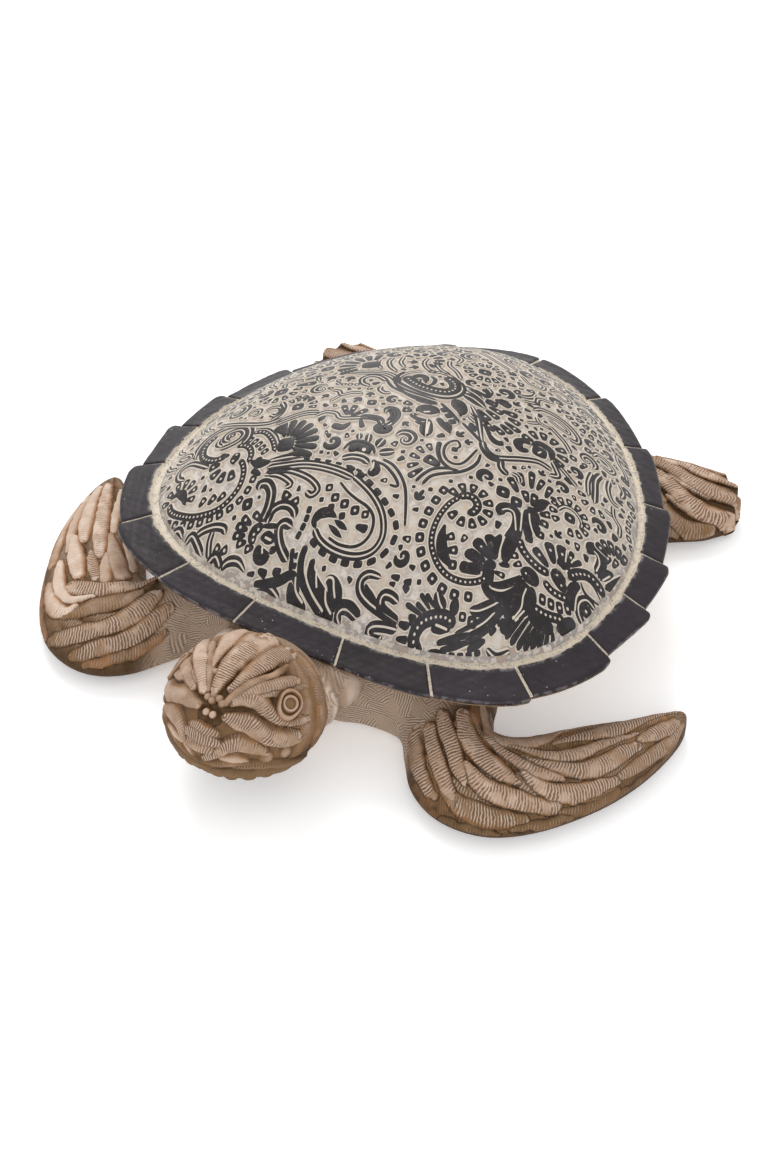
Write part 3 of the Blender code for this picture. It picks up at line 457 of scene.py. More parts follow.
RIGHT_SPRAY = (
    ("petal", (57, 2.3), (51.9, 7.5), 3.3, True),
    ("petal", (59.7, 3.8), (55.3, 12.5), 3.2, True),
    ("petal", (61.5, 5.2), (60.7, 12.7), 2.9, True),
    ("petal", (65.6, 5), (64.5, 12.5), 3, True),
    ("disc", (68.3, 7.4), 1.7, True),
    ("petal", (56.8, -2.3), (50.3, 2.3), 4, True),
    ("petal", (61.8, -3.3), (57.8, 1.2), 3.6, True),
    ("petal", (63.8, -3.3), (61.8, 3.5), 3.4, True),
    ("line", (2, 4.6, 3.4), ((68.8, 4.6), (66.3, 2.5), (65.5, -3.8))),
    ("petal", (67.6, -4), (71.1, 0.4), 3.5, True),
    ("disc", (52.2, -6.5), 2.9, True),
    ("disc", (58.4, -6.5), 2.5, True),
    ("line", (2.4, 5.2, 6, 5, 2.6), ((62.6, -4.8), (65.5, -5.6), (68.4, -9.8), (70.9, -12.3), (72, -13.1))),
    ("line", (3.4, 4.2, 4.2, 3.2), ((63.4, -5.6), (65.3, -9.8), (68.2, -14.6), (70.3, -17.3))),
    ("disc", (71.1, -5.8), 1.9, True),
    ("disc", (72.2, -11.5), 1.9, True),
    ("disc", (69.9, -16.7), 1.8, True),
    ("cream", (0.75,), ((64.6, -6.9), (66.3, -9.6), (69, -12.5), (71.3, -14))),
    ("cream", (0.75,), ((69.9, -8.3), (72.6, -8.8))),
    ("line", (4.6, 4.6, 4.4, 5, 6.2, 5.6, 3), ((56.1, -16.9), (55.7, -13.1), (58.8, -10.6), (62.2, -12.5),
     (64.5, -17.7), (65.3, -24.4), (67.2, -32.1))),
    ("cream", (0.75,), ((56, -14.2), (57.4, -12.1), (59.7, -11.5), (61.5, -13.3), (64.5, -17.9))),
    ("cream", (0.75,), ((61.5, -7.7), (63.2, -10.8), (65.9, -16.7))),
    ("cream", (0.7,), ((62.4, -23.1), (63.2, -27.5), (64.7, -31.9), (66.3, -32.9))),
    ("line", (1.6, 4, 4.6, 2.6), ((60.9, -23.5), (61.3, -27.7), (62.6, -31.9), (63.8, -33.8))),
    ("beaded", (3.8,), ((66.8, -19.4), (69.5, -22.1), (73.8, -23.6), (78.8, -23.5), (82.4, -21.9))),
    ("petal", (81.1, -20.2), (72.8, -18.3), 4, True),
    ("petal", (82, -17.3), (75.7, -11.2), 4.4, True),
    ("petal", (85.7, -15.8), (79.9, -7.5), 4.8, True),
    ("petal", (86.3, -13.5), (84.2, -5.6), 2.6, True),
    ("petal", (86.3, -12.3), (88.6, -5.8), 2.4, False),
    ("line", (3, 5.4, 3), ((82.3, -15.6), (84.7, -13.1), (86.3, -14.6))),
    ("cream", (0.7,), ((82.4, -7.5), (84.5, -12.3))),
    ("cream", (0.7,), ((86.1, -7.7), (86.1, -10.4))),
    ("line", (5.2, 6.6, 5.2, 3), ((84, -17.3), (85.1, -19.8), (88.2, -21.5), (90.5, -20.8))),
    ("cream_dot", (84.7, -19.8), 0.42),
    ("cream_dot", (87.7, -21.7), 0.42),
    ("beaded", (4.4,), ((100.5, -7.9), (97.4, -6.7), (93.6, -7.3), (90.9, -10), (89, -13.5), (88.6, -16.5))),
    ("line", (0.9, 1.5, 1.5, 0.9), ((92.2, -13.1), (94.7, -14.8), (97.6, -14.4), (100.7, -12.3))),
    ("line", (0.8, 1.3, 0.8), ((91.3, -11.5), (95.3, -9), (100.3, -10.4))),
    ("line", (3, 4.4, 4.4, 3), ((92.2, -14.2), (91.5, -18.3), (92.6, -22.5), (95.1, -25.4))),
    ("cream", (0.7,), ((93.6, -15), (93.8, -19.6), (95.7, -24.4))),
    ("lined", (3.4,), ((100.5, -15.6), (97, -16.2), (95.5, -20), (97, -23.5), (100.5, -25))),
    ("disc", (98.6, -20), 2.6, True),
    ("line", (4.6, 5, 4.6, 3.2), ((88.6, 0.6), (88.4, 4), (91.1, 5.2), (93.8, 2.7), (94.2, -3.5))),
    ("cream", (0.75,), ((89.5, 3.5), (91.5, 3.5), (93.4, 1.2), (94, -2.9))),
    ("petal", (94.7, 4), (94, 9.2), 3.2, True),
    ("petal", (97.2, 6.2), (96.8, 11.7), 2.6, True),
    ("line", (1.6, 3.4, 3.4, 2), ((98.6, 4.4), (97.2, 1.2), (96.5, -3.8))),
    ("cream", (0.7,), ((98.2, 2.1), (97.2, -3.1))),
    ("line", (1.6, 2.8, 2.4), ((101.1, 7.9), (100.7, 1.7), (99.5, -4.2))),
    ("line", (1.4, 2, 1.4), ((95.3, 2.5), (95.7, -4))),
    ("petal", (62.6, -32.1), (56.8, -26.7), 4.2, True),
    ("petal", (63.4, -34.2), (53.4, -31.9), 4.8, True),
    ("petal", (60.9, -38.1), (52.6, -37.7), 3.9, True),
    ("petal", (61.8, -40.8), (53.2, -43.3), 4.4, True),
    ("petal", (66.8, -29.4), (70.3, -25.6), 2.9, True),
    ("petal", (70.3, -30.8), (72.6, -27.3), 2.6, True),
    ("line", (3.2, 5, 4.8, 3.4), ((65.3, -34.8), (63.2, -36.7), (64.5, -39.8), (66.8, -41.9))),
    ("line", (2.4, 2.4), ((65.9, -33.8), (69.5, -31.5))),
    ("petal", (65.5, -37.5), (70.1, -36.2), 2.5, True),
    ("line", (5, 6.4, 4.4), ((73.4, -29.6), (77.8, -29), (81.3, -30))),
    ("cream_dot", (75.6, -29.4), 0.42),
    ("line", (2, 3, 3, 2), ((75.1, -31.5), (73, -36), (69.9, -40), (66.3, -42.1))),
    ("line", (2.2, 3.4, 3.6, 3.6, 2.8), ((76.3, -31.9), (75.7, -37.5), (72.6, -42.7), (67.8, -44.8),
     (63.8, -43.1))),
    ("lined", (3, 4.4, 4.6, 3.2), ((73.6, -41.9), (70.9, -47.1), (67.4, -51.5), (64, -53.5))),
    ("line", (2.4, 3.2, 3.2, 2.4), ((77.2, -32.1), (76.5, -39), (75.3, -45.2), (73, -49))),
    ("lined", (3, 4.2, 4, 3), ((73, -47.1), (70.9, -53.1), (67.2, -58.3), (62.6, -62.9))),
    ("line", (1.8, 2.6, 2.4, 1.6), ((74.9, -46.2), (73.2, -52.9), (69.7, -59.2), (65.5, -63.8))),
    ("line", (2.6, 4, 4, 2.6), ((78.4, -32.1), (78, -38.5), (77.4, -44.2), (76.5, -47.9))),
    ("line", (2.6, 5.6, 5.2, 2.4), ((79.7, -31.7), (81.3, -35.6), (80.7, -41), (79.2, -45))),
    ("cream", (0.7,), ((78.4, -33.8), (78.8, -37.1), (80.1, -41), (79.2, -46.2))),
    ("line", (3.6, 5.4, 4), ((80.5, -45.8), (78.8, -49), (77.2, -52.1))),
    ("cream", (0.7,), ((81.5, -40.6), (80.1, -46.2), (80.9, -44.2))),
    ("row", (3.6, 2), 4.4, ((76.1, -49.8), (74.7, -53.8)), False),
    ("disc", (66.6, -56), 2, True),
    ("disc", (62.6, -56.5), 1.6, True),
    ("lined", (1.8, 3, 2.2), ((83, -54.4), (79.7, -58.8), (75.1, -59.2))),
    ("line", (1.6, 3, 1.8), ((73.6, -57.5), (71.1, -60.4), (68.8, -63.5))),
    ("row", (2.8, 1.8), 3.8, ((72.6, -61.9), (69.2, -64.4), (65.5, -66.5), (60.9, -68.3)), False),
    ("beaded", (3.3,), ((82, -26), (85.5, -26.7), (89.2, -25.4), (92.6, -22.7))),
    ("row", (3.1, 4.2), 3.5, ((84.9, -32.3), (88.2, -30.8), (91.1, -29), (93.4, -26.5)), True),
    ("beaded", (3.6,), ((83, -37.3), (87, -36.2), (90.5, -34.2), (94.5, -30.8))),
    ("line", (3.4, 6, 4.4), ((97, -27.1), (96.3, -31.7), (93.8, -35.8))),
    ("line", (4, 5.6, 5.6, 4), ((83, -40.4), (86.5, -39.8), (90.5, -38.3), (93, -36.9))),
    ("petal", (82.3, -40.4), (79.7, -52.9), 2.3, False),
    ("petal", (84, -40.8), (82.2, -53.1), 2.3, False),
    ("petal", (85.9, -40.8), (84.9, -52.5), 2.3, False),
    ("petal", (87.5, -40.6), (87.2, -51), 2.3, False),
    ("petal", (88.8, -40.2), (89.5, -49), 2.3, False),
    ("petal", (90.1, -39.6), (91.5, -46.7), 2.3, False),
    ("petal", (91.3, -38.8), (93.6, -44.6), 2.3, False),
    ("petal", (92.6, -37.5), (95.9, -42.1), 2.3, False),
)
FRONT_EDGE = (
    ("line", (2.9, 3, 2.8, 2.6, 2.2), ((-8, -59), (-7.7, -63.5), (-5.3, -67.9), (-0.5, -71.2),
     (9.4, -75.6))),
    ("line", (2.4, 4.8, 6.2, 6.4, 3), ((-2.6, -61.9), (-2.4, -65.6), (1.3, -69), (7, -72.1), (13.8, -75.2))),
    ("line", (2.6, 5, 6, 3.4), ((5.3, -65.6), (8.4, -66.2), (11.5, -68.8), (14, -72.9))),
    ("cream", (0.8,), ((0.1, -64.2), (1.3, -66.7), (3, -69.2))),
    ("cream", (0.8,), ((-4.5, -62.3), (-3.2, -67.3), (1.8, -71), (8.8, -74))),
    ("cream", (0.8,), ((6.8, -68.3), (8.8, -71.7), (12.6, -73.8))),
    ("cream", (0.9,), ((5.3, -67.3), (6.1, -65.4), (8.4, -65.2), (10.1, -67.5), (12, -69.8))),
    ("line", (2, 4.6, 4, 2.4), ((-9.1, -70.4), (-6.6, -73.3), (-2.4, -74.6), (1.3, -75.6))),
    ("line", (1.8, 2.6, 2.6, 1.6), ((-12, -69.8), (-9.3, -68.3), (-6.8, -69.4), (-3.9, -72.3))),
    ("petal", (-11.6, -66.2), (-8.5, -65.8), 2.2, False),
    ("petal", (-11.8, -63.5), (-9.7, -62.9), 2.4, False),
    ("line", (2.4, 5, 5.4, 2.4), ((-7.8, -72.3), (-5.3, -74.6), (-2.2, -75.4), (0.8, -75))),
    ("cream", (0.8,), ((-7.4, -68.5), (-5.3, -71.9), (-0.7, -74))),
    ("lined", (2.2, 3.6, 3.6, 3.4, 2.6), ((27, -59.2), (22, -59.8), (19.7, -62.3), (21.1, -65.2),
     (25.5, -66.9), (32.8, -67.9), (40.1, -68.3))),
    ("line", (1.4, 2.4, 1.6), ((22, -62.9), (24.7, -64.6), (28.8, -66))),
    ("lined", (3.4, 3.8, 3.8, 2.8), ((37.4, -63.3), (33.8, -62.7), (30.9, -63.3), (30.5, -65.4),
     (32.8, -67.3), (40.1, -67.9))),
    ("line", (2, 2.4, 3.2), ((40.5, -68.1), (43.2, -67.9), (44.9, -67.3))),
    ("line", (3, 1.8), ((45.1, -67.3), (45.5, -64.4))),
    ("line", (2.4, 1.8), ((43.2, -65.4), (46.5, -64.4))),
    ("line", (1.6, 2.8, 2.4), ((13.8, -70), (19.2, -69.8), (24.5, -71.2))),
    ("lined", (3.2,), ((23.4, -72.1), (19.2, -71.2), (16.3, -71.7), (15.3, -73.5), (17.4, -75.2))),
    ("lined", (3.2,), ((40.6, -69.9), (35.4, -70.8), (31.2, -72), (29.7, -73.5), (31.8, -74.8),
     (34.9, -74.4), (35.5, -72.9))),
    ("petal", (41.3, -71.9), (46.3, -70.6), 2.2, False),
    ("line", (1.2, 2.4, 1.4), ((39.7, -75.2), (44.9, -74), (50.5, -73.3))),
    ("petal", (30.5, -57.5), (34.5, -56.9), 2.4, False),
    ("petal", (36.1, -57.3), (39.5, -56.2), 2.6, False),
    ("petal", (36.5, -58.2), (39.7, -59.2), 2.6, False),
    ("petal", (30.9, -59.6), (33.8, -59.2), 1.9, False),
    ("petal", (49.2, -63.1), (40.3, -62.5), 2, False),
    ("petal", (50.1, -61.9), (44, -60.8), 2, False),
    ("petal", (50.5, -60.4), (44.2, -57.7), 2, False),
    ("petal", (52, -59.2), (46.3, -56.9), 2, False),
    ("lined", (3, 5, 5.4), ((49.9, -54.4), (52.6, -57.1), (55.5, -58.5))),
    ("line", (2, 4, 3), ((57.6, -52.5), (58.4, -55.6), (59.7, -57.9))),
    ("beaded", (5,), ((61.3, -60), (56.8, -59.8), (52.6, -61.7), (49.2, -64.6), (48, -68.3), (49.5, -71.2),
     (53.2, -72.5))),
    ("line", (1.4, 3.6, 2.4), ((60.3, -61.9), (56.1, -63.3), (53.2, -64.8))),
    ("cream", (0.9,), ((54.2, -63.1), (59.2, -62.3))),
    ("line", (1.6, 2.6, 1.8), ((67.6, -59.2), (62.6, -63.3), (57.2, -67.1))),
    ("line", (1.6, 2.2, 1.6), ((68.4, -61), (64, -64.8), (59.2, -68.1))),
    ("line", (2, 3.2, 2), ((55.1, -70.4), (58.4, -69.6), (61.5, -68.3))),
    ("lined", (4.5,), ((-38.8, -47), (-39.2, -44.9), (-36.1, -44.2), (-32.8, -46.6), (-31.2, -50.4),
     (-30.7, -54.2), (-31.3, -57.1))),
    ("lined", (3.9,), ((-28.4, -57.1), (-28.7, -52.9), (-26.3, -50.1), (-22.6, -49.3), (-19.5, -50.3),
     (-17.8, -52.3))),
    ("lined", (4,), ((-13.4, -65.4), (-18.2, -62.6), (-21.3, -59.4), (-22.4, -56.7), (-20.7, -55.1),
     (-17.2, -55.6))),
    ("petal", (-26.2, -48.5), (-25.2, -44.6), 4.8, True),
    ("petal", (-22.8, -48.5), (-19.2, -46.2), 3.6, True),
    ("disc", (-40.7, -52.8), 2.4, True),
    ("petal", (-30.5, -56.9), (-36.3, -55), 3.1, True),
    ("petal", (-34.7, -59), (-40.5, -57.1), 3.1, True),
    ("petal", (-35.3, -60.8), (-41.8, -60.1), 3.1, True),
    ("petal", (-35.3, -62.5), (-41.5, -63.5), 3.1, True),
    ("petal", (-33.8, -64.2), (-38.4, -65.6), 3.1, True),
    ("petal", (-29.7, -65), (-33.8, -66.5), 3.1, True),
    ("line", (3, 4.4, 4.2, 3), ((-29.2, -58.1), (-31.8, -59.8), (-32.4, -61.9), (-30.7, -64.4))),
    ("cream_dot", (-30.9, -59.6), 0.5),
    ("cream_dot", (-32, -61.4), 0.5),
    ("cream_dot", (-31.4, -63), 0.5),
    ("line", (1.6, 2.2, 1.8), ((-29.7, -58.2), (-25.7, -57.3), (-23, -56.7))),
    ("line", (1.8, 4.2, 4, 2), ((-28.6, -61.9), (-26.3, -61), (-24, -61.2), (-21.8, -61.2))),
    ("cream", (1,), ((-26.8, -61.2), (-23.4, -61.5))),
    ("line", (3, 5, 5, 3.4), ((-28.2, -63.8), (-26.8, -66.5), (-23.8, -66.7), (-21.8, -65.4))),
    ("cream", (0.8,), ((-26.3, -64.2), (-25.1, -66))),
    ("line", (2, 3.6), ((-19.5, -63.3), (-22.6, -64.6))),
    ("row", (3.8, 2.2), 3.4, ((-12.4, -63.1), (-11.1, -66)), False),
    ("petal", (-18.2, -69.2), (-14.2, -69.6), 3.4, False),
    ("petal", (-24.7, -70.4), (-19.9, -71), 2.8, False),
    ("petal", (-29, -72.3), (-25.3, -71.7), 1.8, False),
    ("lined", (2.4, 3.4, 3, 1.4), ((-42.4, -73.8), (-39.5, -70.8), (-34.7, -70), (-30.1, -71.9))),
    ("line", (1.8, 2.6, 3.2, 3.6, 2.6), ((-24.5, -74), (-19.2, -72.9), (-14, -71.2), (-10.1, -68.8),
     (-7.4, -68.3))),
    ("lined", (1.6, 3, 2), ((-22.4, -74.6), (-17.2, -73.5), (-11.5, -75.2))),
    ("lined", (3.4,), ((-41.3, -73.3), (-45.9, -70), (-49, -72.5))),
    ("lined", (3.2,), ((-59, -65.2), (-55.7, -63.3), (-51.1, -61.9), (-46.8, -61.9), (-45.1, -63.5))),
    ("lined", (3,), ((-51.3, -62.9), (-51.1, -66.5), (-49, -70.8))),
    ("petal", (-47.6, -70.2), (-45.7, -66.5), 3.2, True),
    ("petal", (-44.9, -69.4), (-41.3, -67.1), 3.2, True),
    ("lined", (3.2,), ((-63.2, -67.7), (-61.1, -65.2), (-57.4, -67.1), (-52.8, -70.4))),
    ("lined", (3.2,), ((-72.6, -64.6), (-69.2, -63.5), (-65.9, -65.6))),
    ("lined", (3.4,), ((-93.4, -42.9), (-92.4, -45.2), (-89.2, -44.2))),
)
MIDDLE = (
    ("line", (1.3, 1.5, 1.5, 1.5, 1.3), ((27, 0), (27.4, 2.1), (25.1, 4), (23.1, 1.9), (22.6, -1.9),
     (24.5, -6), (27.8, -8), (31.1, -7.4), (33.2, -4), (33.7, 5.2))),
    ("disc", (26.6, -1), 1.5, False),
    ("line", (2.6, 2.2, 1.8, 1.4), ((19.5, -0.8), (21.5, -5.6), (25.1, -9.4), (29.9, -10.8), (33.4, -10))),
    ("line", (1.4, 1.8, 1.8, 1.8, 1.8), ((36, 3.8), (37.2, -0.8), (36.5, -5.8), (33.8, -10.4), (29.2, -14.4),
     (25.5, -18.3), (24.5, -22.9))),
    ("line", (1.4, 1.8, 1.8, 1.8), ((33.4, -9.8), (29, -11.5), (24.5, -14.8), (22.2, -19.6), (21.5, -23.1))),
    ("petal", (26.3, -12.1), (18.4, -11.2), 5, True),
    ("petal", (19.5, -7.3), (15.9, -4.2), 3, True),
    ("petal", (17.6, -9.8), (13, -7.9), 3, True),
    ("petal", (17.6, -12.9), (12.4, -12.7), 2.9, True),
    ("petal", (18.4, -15), (14.5, -18.8), 3, True),
    ("petal", (20.9, -16.2), (17.6, -22.9), 3.3, True),
    ("line", (4, 5.2, 5, 4), ((-10.8, -21.7), (-9.1, -18.5), (-4.9, -18.1), (-2.6, -19.6))),
    ("cream_dot", (-5.5, -18.8), 0.9),
    ("line", (1.4, 1.9, 1.9, 1.4), ((-13.5, -21.7), (-12.2, -17.3), (-8.2, -15.4), (-3.2, -16),
     (-0.5, -18.8))),
    ("lined", (3.4,), ((-6, -15.2), (-7.8, -10.6))),
    ("lined", (4.8,), ((-1.4, -15.4), (-1, -10.4))),
    ("lined", (4.4,), ((0.9, -17.7), (6.3, -14.4))),
    ("lined", (3.2,), ((-10.1, -15), (-11.8, -12.1))),
    ("line", (2, 3, 4.8, 3.6), ((0.3, -21.7), (2.8, -23.1), (4, -26), (1.1, -26.9))),
    ("cream", (0.9,), ((1.3, -22.3), (2.4, -24.8), (2, -26.5))),
    ("lined", (3.4,), ((-11.8, -25.8), (-8.2, -23.5), (-3.7, -22.7), (-0.3, -23.8))),
    ("line", (1.4, 1.6, 1.4), ((1.1, -22.1), (5.9, -21.9), (11.1, -24), (14.9, -26.5), (15.9, -28.3),
     (12.6, -28.8))),
    ("line", (1.5, 1.5, 1.5, 1.2), ((4.2, -19.8), (9, -20.4), (14.2, -23.1), (18.8, -27.1), (22.6, -32.7),
     (27, -40.8))),
    ("lined", (4.6,), ((-9.1, 4), (-8.5, 6), (-5.8, 5.4), (-3.7, 2.1), (-4.7, -1.2))),
    ("lined", (3.8,), ((-16.6, -3.8), (-12.6, -2.1), (-8.5, -1.7), (-6.2, -4))),
    ("line", (3.4, 4.6, 4.4, 3.6), ((-7.2, -3.8), (-6, -6.9), (-2.8, -6), (-2.4, -2.7))),
    ("lined", (4.2, 5.8, 5.8), ((8.2, 8.5), (10.5, 3.8), (13, -1))),
    ("cream", (1.1,), ((9.9, 7.3), (12.8, 0))),
    ("line", (4.4, 3.2, 1.6), ((15.3, 11.2), (18.2, 9), (20.1, 6.2))),
    ("lined", (3.4,), ((-1.6, 8.5), (-3.2, 11.2))),
    ("lined", (3.2,), ((3.2, 6.5), (1.3, 8.5))),
    ("petal", (8, 3.8), (5.1, 5.4), 3, False),
    ("lined", (3.6,), ((32.6, 11.2), (35.7, 7.3), (40.1, 5.4), (43.4, 7.1))),
    ("lined", (3.4,), ((43.8, 7.5), (45.5, 3.8), (49.5, 2.1))),
    ("lined", (3.2,), ((-8.8, 3.5), (-9, 6), (-6.1, 6.9), (-3.2, 3.8), (-3.2, -2.1), (-5.5, -6.5))),
    ("twin", (4.2,), ((-50.1, -16.9), (-45.5, -12.5), (-40.3, -8.5), (-34.7, -6.7))),
    ("lined", (2.7,), ((-35.1, -9.2), (-32.2, -5.8), (-27.6, -5.2), (-24, -7.3), (-19.2, -5.6), (-14, -3.1),
     (-8.2, -2.3), (-3.8, -5.2))),
    ("petal", (-22, -5), (-27.4, 0.8), 3.2, True),
    ("petal", (-21.3, -4.6), (-22.4, 2.7), 3.2, True),
    ("petal", (-20.5, -4.8), (-15.9, 1.9), 3.2, True),
    ("line", (3.6, 2.4), ((-32, -11.5), (-30.7, -8.3))),
    ("line", (3.6, 3.8, 2), ((-25.1, -12.1), (-20.3, -11.9), (-18.4, -8.3))),
    ("petal", (-15.9, -4.6), (-12.2, -9.2), 2.6, False),
    ("disc", (-17.4, 6.7), 2.3, True),
    ("lined", (2.6,), ((-35.7, 9.6), (-33.4, 6.9), (-33.8, 2.7))),
    ("lined", (2.4,), ((-33.4, 6.9), (-29.7, 9.2))),
    ("lined", (3,), ((-80.7, -14.6), (-73.6, -15.6), (-66.3, -16.7), (-59, -17.3), (-52.8, -16.2),
     (-49, -12.9))),
    ("lined", (3,), ((-56.8, -1.7), (-53.2, -5.4), (-51.8, -10.4), (-53.6, -15))),
    ("lined", (2.9,), ((-60.5, -7.9), (-59, -5.6), (-55.1, -5.6), (-52.8, -8.5), (-53.8, -11.7),
     (-56.8, -10.8))),
    ("fan", (-46.5, -5.2), 78, 130, 6, 4.6, 8.8, 2.8, True),
    ("disc", (-46.5, -4.8), 2.7, True),
    ("lined", (2.8,), ((-68.4, -9.8), (-67.8, -7.1), (-64.5, -6.9), (-63.4, -10), (-65.9, -11.2))),
    ("lined", (2.6,), ((-87.6, -7.9), (-89, -11.5), (-86.5, -15), (-83, -16))),
    ("lined", (2.4,), ((-92.4, -5.6), (-92.4, -10.8), (-89.2, -15.4))),
    ("lined", (2.6,), ((-91.3, -31.9), (-89.2, -30.2), (-85.1, -30.8), (-83.8, -32.9), (-87.6, -34.2),
     (-91.1, -32.5))),
    ("lined", (2.4,), ((-96.5, -32.1), (-93.4, -35.4), (-88.8, -36.7))),
    ("lined", (2.2,), ((-97.6, -21.2), (-94.5, -25.4), (-90.7, -27.5))),
    ("petal", (-96.8, -14), (-92.4, -21.2), 3, False),
)
UPPER_RIGHT = (
    ("fan", (76.3, 6.6), 90, 300, 11, 4.8, 8.8, 3.1, True),
    ("lined", (2.1,), ((71.5, 4.9), (72.6, 9.1), (76.3, 11), (80.5, 9.3), (81.8, 5.8))),
    ("disc", (76.5, 6.2), 2.4, True),
    ("fan", (52.4, 29.1), 88, 200, 7, 4.8, 10.4, 3.9, True),
    ("line", (2.2, 3.8, 3.8, 2.4), ((48.2, 25.5), (49.7, 29.7), (54.7, 30.3), (57.2, 26))),
    ("disc", (52.1, 25.1), 3.3, False),
    ("cream", (0.9,), ((52.4, 26), (52, 23.7))),
    ("line", (2.6, 3.4, 4.4, 3.6, 2.6), ((47.6, 25.8), (44.5, 24.9), (43.6, 21.8), (46.3, 19.3),
     (48.8, 21.8))),
    ("lined", (2.8,), ((57.6, 26.8), (61.5, 25.8), (66.3, 24.5), (70.9, 23.2))),
    ("lined", (3,), ((58, 25.1), (60.9, 23), (63.4, 20.3), (60.9, 17.2))),
    ("lined", (3.3,), ((34.2, 8.9), (37.4, 7), (41.3, 6.8), (44.9, 9.7), (49.5, 14.7), (54.7, 19.5),
     (60.3, 20.5))),
    ("lined", (3.2,), ((43.4, 6.8), (45.9, 3.5), (49.5, 2.6))),
    ("lined", (3,), ((31.8, 74.9), (32.6, 79.1), (36.8, 80.3), (40.3, 77.4), (38.6, 74.1), (34.7, 74.5))),
    ("fan", (53.6, 74.9), -78, 124, 6, 5.6, 10.6, 3.4, True),
    ("fan", (53.6, 74.9), -78, 110, 8, 11.4, 16, 3.2, True),
    ("lined", (3.2,), ((37, 48.7), (38.6, 52.8), (44.2, 55.5), (51.5, 55.3), (56.8, 52.4), (58, 48.7),
     (54.7, 46.8))),
    ("lined", (2.3,), ((42.2, 50.1), (45.9, 52.4), (51.1, 52), (53.2, 49.9), (48.4, 48.9), (43.8, 49.1))),
    ("fan", (46.3, 50.1), 168, 120, 6, 10, 13.2, 2.8, False),
    ("lined", (2.8,), ((46.3, 44.9), (50.5, 43.7), (55.7, 41.8), (59.9, 38.7))),
    ("lined", (2.4,), ((40.1, 44.7), (43.2, 42.4), (48.2, 43.7))),
    ("lined", (2.4,), ((43, 42.2), (40.9, 38.7), (39, 37.4))),
    ("lined", (3.4,), ((72.6, 42.8), (73.2, 36.6), (76.1, 30.3), (78.8, 24.5))),
    ("lined", (2.8,), ((76.1, 44.5), (78.2, 38.7), (82, 34.9), (84.9, 36))),
    ("lined", (2.6,), ((70.3, 38.7), (72, 31.6), (75.5, 25.1))),
    ("fan", (78.4, 25.1), -90, 120, 4, 3.4, 7.4, 2.8, True),
    ("disc", (78.2, 56.2), 2.2, True),
    ("disc", (86.5, 44.9), 2, True),
    ("disc", (62, 37), 1.8, True),
    ("disc", (62.6, 50.1), 1.8, True),
    ("disc", (82, 50.1), 2.2, True),
    ("lined", (2.6,), ((65.3, 50.1), (65.5, 53.7), (69.9, 55.3), (73.8, 53.7), (73.4, 50.1), (69.9, 49.1))),
    ("line", (1.2, 2, 1.2), ((67.4, 52), (71.3, 52.6))),
    ("lined", (2.4,), ((83.6, 32.6), (86.3, 28.2), (90.1, 26.4), (92.2, 21.8))),
    ("lined", (2.2,), ((86.3, 27.8), (82.4, 26.2))),
    ("row", (3.2, 2.8), 3.9, ((89.2, 41.6), (90.1, 36.6), (91.8, 31.4), (94.5, 27), (97.2, 24.5)), True),
    ("fan", (98, 8.2), 136, 96, 5, 3.8, 10, 3.4, True),
    ("lined", (2.8,), ((78.6, 49.1), (81.8, 47), (82.8, 42.8))),
    ("lined", (2.6,), ((68.2, 67.8), (71.3, 63.7), (76.5, 60.5), (79.7, 55.3))),
    ("fan", (76.5, 73), -100, 120, 5, 4, 9, 3.2, True),
    ("fan", (60.9, 87.6), -70, 160, 7, 5, 10, 3.2, False),
    ("lined", (2.6,), ((54.7, 2.6), (52.6, 4.7), (50.1, 4.3))),
    ("petal", (69.2, 22), (65.3, 23), 3.4, False),
)
